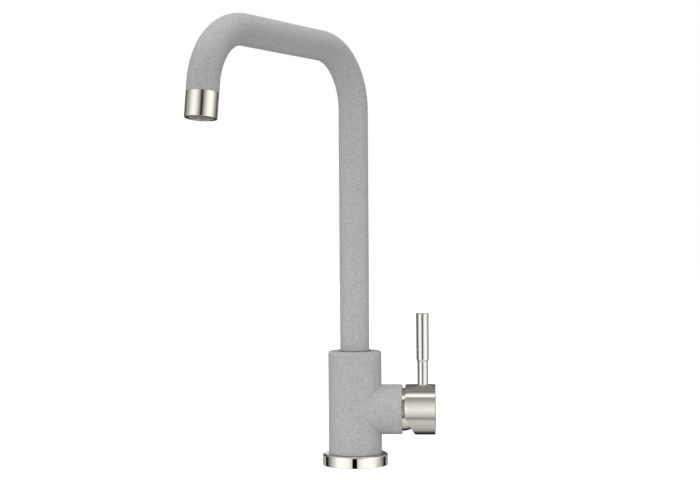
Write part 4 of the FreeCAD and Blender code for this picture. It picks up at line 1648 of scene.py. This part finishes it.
@dataclass
class Surroundings:
    """White for the camera, an even level for matt surfaces, soft boxes and dark gaps for metal.

    A mirrored ray has three angles in degrees: its swing to the viewer's right, its rise, and facing,
    the rise of the surface that mirrors it to the viewer. Stops are (angle, brightness).
    """

    forward: Vector
    viewer_rise: float = 6.9
    ambient: float = 0.585
    brightest: float = 1.75
    level: float = 1.2
    warm_white: Colour = (1.0, 0.967, 0.955)
    # Soft boxes round the object, for rays that point down and for the higher ones
    around_low: Stops = (
        (0.0, 0.0), (7.0, 0.0), (9.3, 0.5), (14.0, 0.77), (34.0, 1.0), (62.0, 1.0), (72.0, 0.9),
        (81.0, 0.69), (91.0, 0.52), (101.0, 0.33), (107.0, 0.22), (113.0, 0.16), (115.5, 0.02),
        (131.0, 0.01), (134.5, 0.32), (148.0, 0.36), (158.0, 0.36), (166.0, 0.06), (180.0, 0.04))
    around_high: Stops = (
        (0.0, 0.02), (4.0, 0.03), (9.0, 0.2), (18.0, 0.43), (28.0, 0.7), (38.0, 0.92), (50.0, 1.0),
        (60.0, 1.0), (72.0, 0.9), (84.0, 0.69), (93.0, 0.54), (104.0, 0.4), (116.0, 0.22),
        (131.0, 0.08), (151.0, 0.08), (162.0, 0.2), (170.0, 0.8), (180.0, 0.85))
    # Soft boxes from the floor over the viewer to the ceiling, by facing
    over: Stops = (
        (-90.0, 0.0), (-66.0, 0.0), (-58.0, 0.05), (-54.0, 0.13), (-50.0, 0.26), (-43.0, 0.35),
        (-30.0, 0.435), (-22.0, 0.47), (-18.0, 0.4), (-15.0, 0.22), (-12.0, 0.36), (-3.0, 0.63),
        (6.0, 0.88), (11.0, 0.86), (16.0, 0.725), (21.0, 0.545), (26.0, 0.38), (31.5, 0.26),
        (33.5, 0.3), (36.0, 0.65), (38.0, 0.97), (40.0, 1.0), (42.5, 0.8), (45.0, 0.35),
        (47.5, 0.19), (55.0, 0.17), (63.0, 0.13), (90.0, 0.13))
    # The boxes stand a little to one side, more so up high
    shift: float = 2.9
    shift_waves: float = 1.5
    high_shift: Band = Band(-1.0, 8.0, 9.5)
    high_squeeze: Band = Band(5.0, 10.0, 0.14)
    low_to_high: Band = Band(-9.0, -1.0)
    left_gap: Band = Band(-64.0, -82.0, 0.7)
    left_gap_top: Band = Band(9.0, 5.0)
    behind: Band = Band(80.0, 110.0)
    # Dark card behind the viewer, and one under it
    card_foot: Band = Band(-19.5, -16.5)
    card_top: Band = Band(34.5, 31.0)
    card_below: Band = Band(-43.0, -50.0)
    card_width: Band = Band(30.0, 14.0, 0.74)
    warm_middle: float = 14.0
    warm_edge: Band = Band(26.0, 34.0)
    steep_to_level: Band = Band(38.0, 22.0)

    def build(self) -> None:
        """Builds the world."""
        world = bpy.data.worlds.new("studio")
        world.use_nodes = True
        bpy.context.scene.world = world
        graph = Graph(world.node_tree)
        mirrored = graph.node("ShaderNodeLightPath", output="Is Glossy Ray")
        seen = graph.node("ShaderNodeLightPath", output="Is Camera Ray")
        even = (self.ambient, self.ambient, self.ambient)
        tone = graph.blend(mirrored, even, self.studio(graph))
        tone = graph.blend(seen, tone, WHITE)
        light = graph.node("ShaderNodeBackground", None, {"Color": tone, "Strength": 1.0})
        graph.node("ShaderNodeOutputWorld", None, {"Surface": light})

    def studio(self, graph: Graph) -> Signal:
        """Colour that a mirrored ray meets.

        Args:
            graph: The world's tree.

        Returns:
            The colour.
        """
        swing, rise, facing = self.angles(graph)
        shift = graph.maths("COSINE", swing * math.radians(self.shift_waves)) * self.shift
        shift = shift - graph.share(rise, self.high_shift)
        turn = graph.maths("ABSOLUTE", swing + shift) * (1.0 - graph.share(rise, self.high_squeeze))
        gap = graph.share(swing, self.left_gap) * graph.share(rise, self.left_gap_top)
        low = graph.curve(turn, 0.0, 180.0, self.around_low)
        high = graph.curve(turn, 0.0, 180.0, self.around_high) * (1.0 - gap)
        around = graph.blend(graph.share(rise, self.low_to_high), low, high)
        over = graph.curve(facing, -90.0, 90.0, self.over) * self.brightest
        flat = graph.blend(graph.share(turn, self.behind), over, (self.level, self.level, self.level))
        card = graph.share(facing, self.card_foot) * graph.share(facing, self.card_top)
        card = (card + graph.share(facing, self.card_below)) * graph.share(turn, self.card_width)
        off_middle = graph.maths("ABSOLUTE", facing - self.warm_middle)
        warm = graph.blend(graph.share(off_middle, self.warm_edge), WHITE, self.warm_white)
        steep = graph.vectors("SCALE", warm, over * (1.0 - card))
        level = graph.vectors("SCALE", flat, around)
        off_level = graph.maths("ABSOLUTE", rise)
        return graph.blend(graph.share(off_level, self.steep_to_level), steep, level)

    def angles(self, graph: Graph) -> tuple[Signal, Signal, Signal]:
        """Swing, rise and facing of a ray.

        Args:
            graph: The world's tree.

        Returns:
            The three angles in degrees.
        """
        way = graph.node("ShaderNodeTexCoord", output="Generated")
        right = self.forward.cross(UP).normalized()
        ahead = Vector((self.forward.x, self.forward.y, 0)).normalized()
        sideways = graph.vectors("DOT_PRODUCT", way, tuple(right))
        back = graph.vectors("DOT_PRODUCT", way, tuple(-ahead))
        height = graph.vectors("DOT_PRODUCT", way, tuple(UP))
        to_degrees = math.degrees(1.0)
        viewer = math.radians(self.viewer_rise)
        middle = graph.maths("ARCTAN2", height + math.sin(viewer), back + math.cos(viewer))
        swing = graph.maths("ARCTAN2", sideways, back) * to_degrees
        rise = graph.maths("ARCSINE", height) * to_degrees
        return swing, rise, middle * to_degrees


@dataclass
class Studio:
    """Camera, floor, surroundings and lamps, in metres, with the camera's lens in millimetres."""

    camera_place: tuple[float, float, float] = (0.0819, -1.2842, 0.2024)
    camera_forward: tuple[float, float, float] = (-0.0663, 0.9978, -0.0103)
    camera_roll_deg: float = 0.39
    lens: float = 78.37
    sensor: float = 36.0
    clip: tuple[float, float] = (0.05, 50.0)
    floor_size: float = 8.0
    floor_drop: float = 0.00005
    # Floor tone seen by bounced light only: a painted pool of light, bright near the object and fading
    # to dark further out
    painted_pool_near: Colour = (0.8, 0.8, 0.8)
    painted_pool_far: Colour = (0.25, 0.25, 0.25)
    painted_pool_fade: Band = Band(0.3, 1.1)
    floor_seen: Colour = (0.85, 0.85, 0.85)
    floor_lift: float = 0.62
    lamps: tuple[SoftLamp, ...] = (
        SoftLamp("left_lamp", towards=(-1.0, 0.0, 0.25), share=0.21, size=2.2),
        SoftLamp("top_lamp", towards=(0.0, 0.0, 1.0), share=0.2),
        SoftLamp("arm_lamp", towards=(0.0, 0.0, 1.0), share=0.5, distance=0.4, size=0.4,
                 aim=(-0.05, -0.07, 0.35)),
        SoftLamp("front_lamp", towards=(0.0, -1.0, 1.0), share=0.15),
        SoftLamp("low_lamp", towards=(0.3, -1.0, 0.0), share=0.0145, distance=1.8, size=0.5,
                 spread_deg=30.0, aim=(0.05, 0.0, 0.05)),
    )

    def build(self) -> None:
        """Builds everything that isn't part of the object."""
        forward = Vector(self.camera_forward).normalized()
        self.camera(forward)
        self.floor()
        Surroundings(forward).build()
        for lamp in self.lamps:
            lamp.build()

    def camera(self, forward: Vector) -> None:
        """Places the camera at the photograph's viewing angle.

        Args:
            forward: The direction it looks in.
        """
        level = forward.cross(UP).normalized()
        rise = level.cross(forward)
        roll = math.radians(self.camera_roll_deg)
        right = level * math.cos(roll) - rise * math.sin(roll)
        top = rise * math.cos(roll) + level * math.sin(roll)
        data = bpy.data.cameras.new("camera")
        data.lens = self.lens
        data.sensor_width = self.sensor
        data.sensor_fit = "HORIZONTAL"
        data.clip_start, data.clip_end = self.clip
        made = bpy.data.objects.new("camera", data)
        bpy.context.scene.collection.objects.link(made)
        turn = Matrix((right, top, -forward)).transposed().to_4x4()
        made.matrix_world = Matrix.Translation(self.camera_place) @ turn
        bpy.context.scene.camera = made

    def floor(self) -> None:
        """Pale floor that looks white to the camera and keeps the object's shadow; for bounced light
        its tone is a painted pool of light, bright round the object and dark further out.
        """
        half = self.floor_size / 2
        z = -self.floor_drop
        corners = [(-half, -half, z), (half, -half, z), (half, half, z), (-half, half, z)]
        mesh = bpy.data.meshes.new("floor")
        mesh.from_pydata(corners, [], [(0, 1, 2, 3)])
        floor = named_object("floor", mesh)
        floor.visible_glossy = False
        made = bpy.data.materials.new("pale_floor")
        made.use_nodes = True
        graph = Graph(made.node_tree)
        seen = graph.node("ShaderNodeLightPath", output="Is Camera Ray")
        reach = graph.vectors("LENGTH", graph.node("ShaderNodeTexCoord", output="Object"))
        # Painted pool of light: the tone for bounced rays fades from bright near the object to dark far
        # away
        painted_light_pool = graph.blend(graph.share(reach, self.painted_pool_fade), self.painted_pool_near, self.painted_pool_far)
        matt = graph.node("ShaderNodeBsdfDiffuse", None, {
            "Color": graph.blend(seen, painted_light_pool, self.floor_seen)})
        lift = graph.node("ShaderNodeEmission", None, {
            "Color": (*WHITE, 1.0), "Strength": seen * self.floor_lift})
        both = graph.node("ShaderNodeAddShader", None, {0: matt, 1: lift})
        graph.node("ShaderNodeOutputMaterial", None, {"Surface": both})
        mesh.materials.append(made)


def main() -> None:
    """Builds the tap and its studio in order."""
    logging.basicConfig(level=logging.INFO, format="%(name)s: %(message)s")
    bpy.context.scene.view_settings.view_transform = "Standard"
    for part in (CadPieces(), BaseAssembly(), SpoutAssembly(), LeverAssembly(), Studio()):
        part.build()


if __name__ == "__main__":
    main()
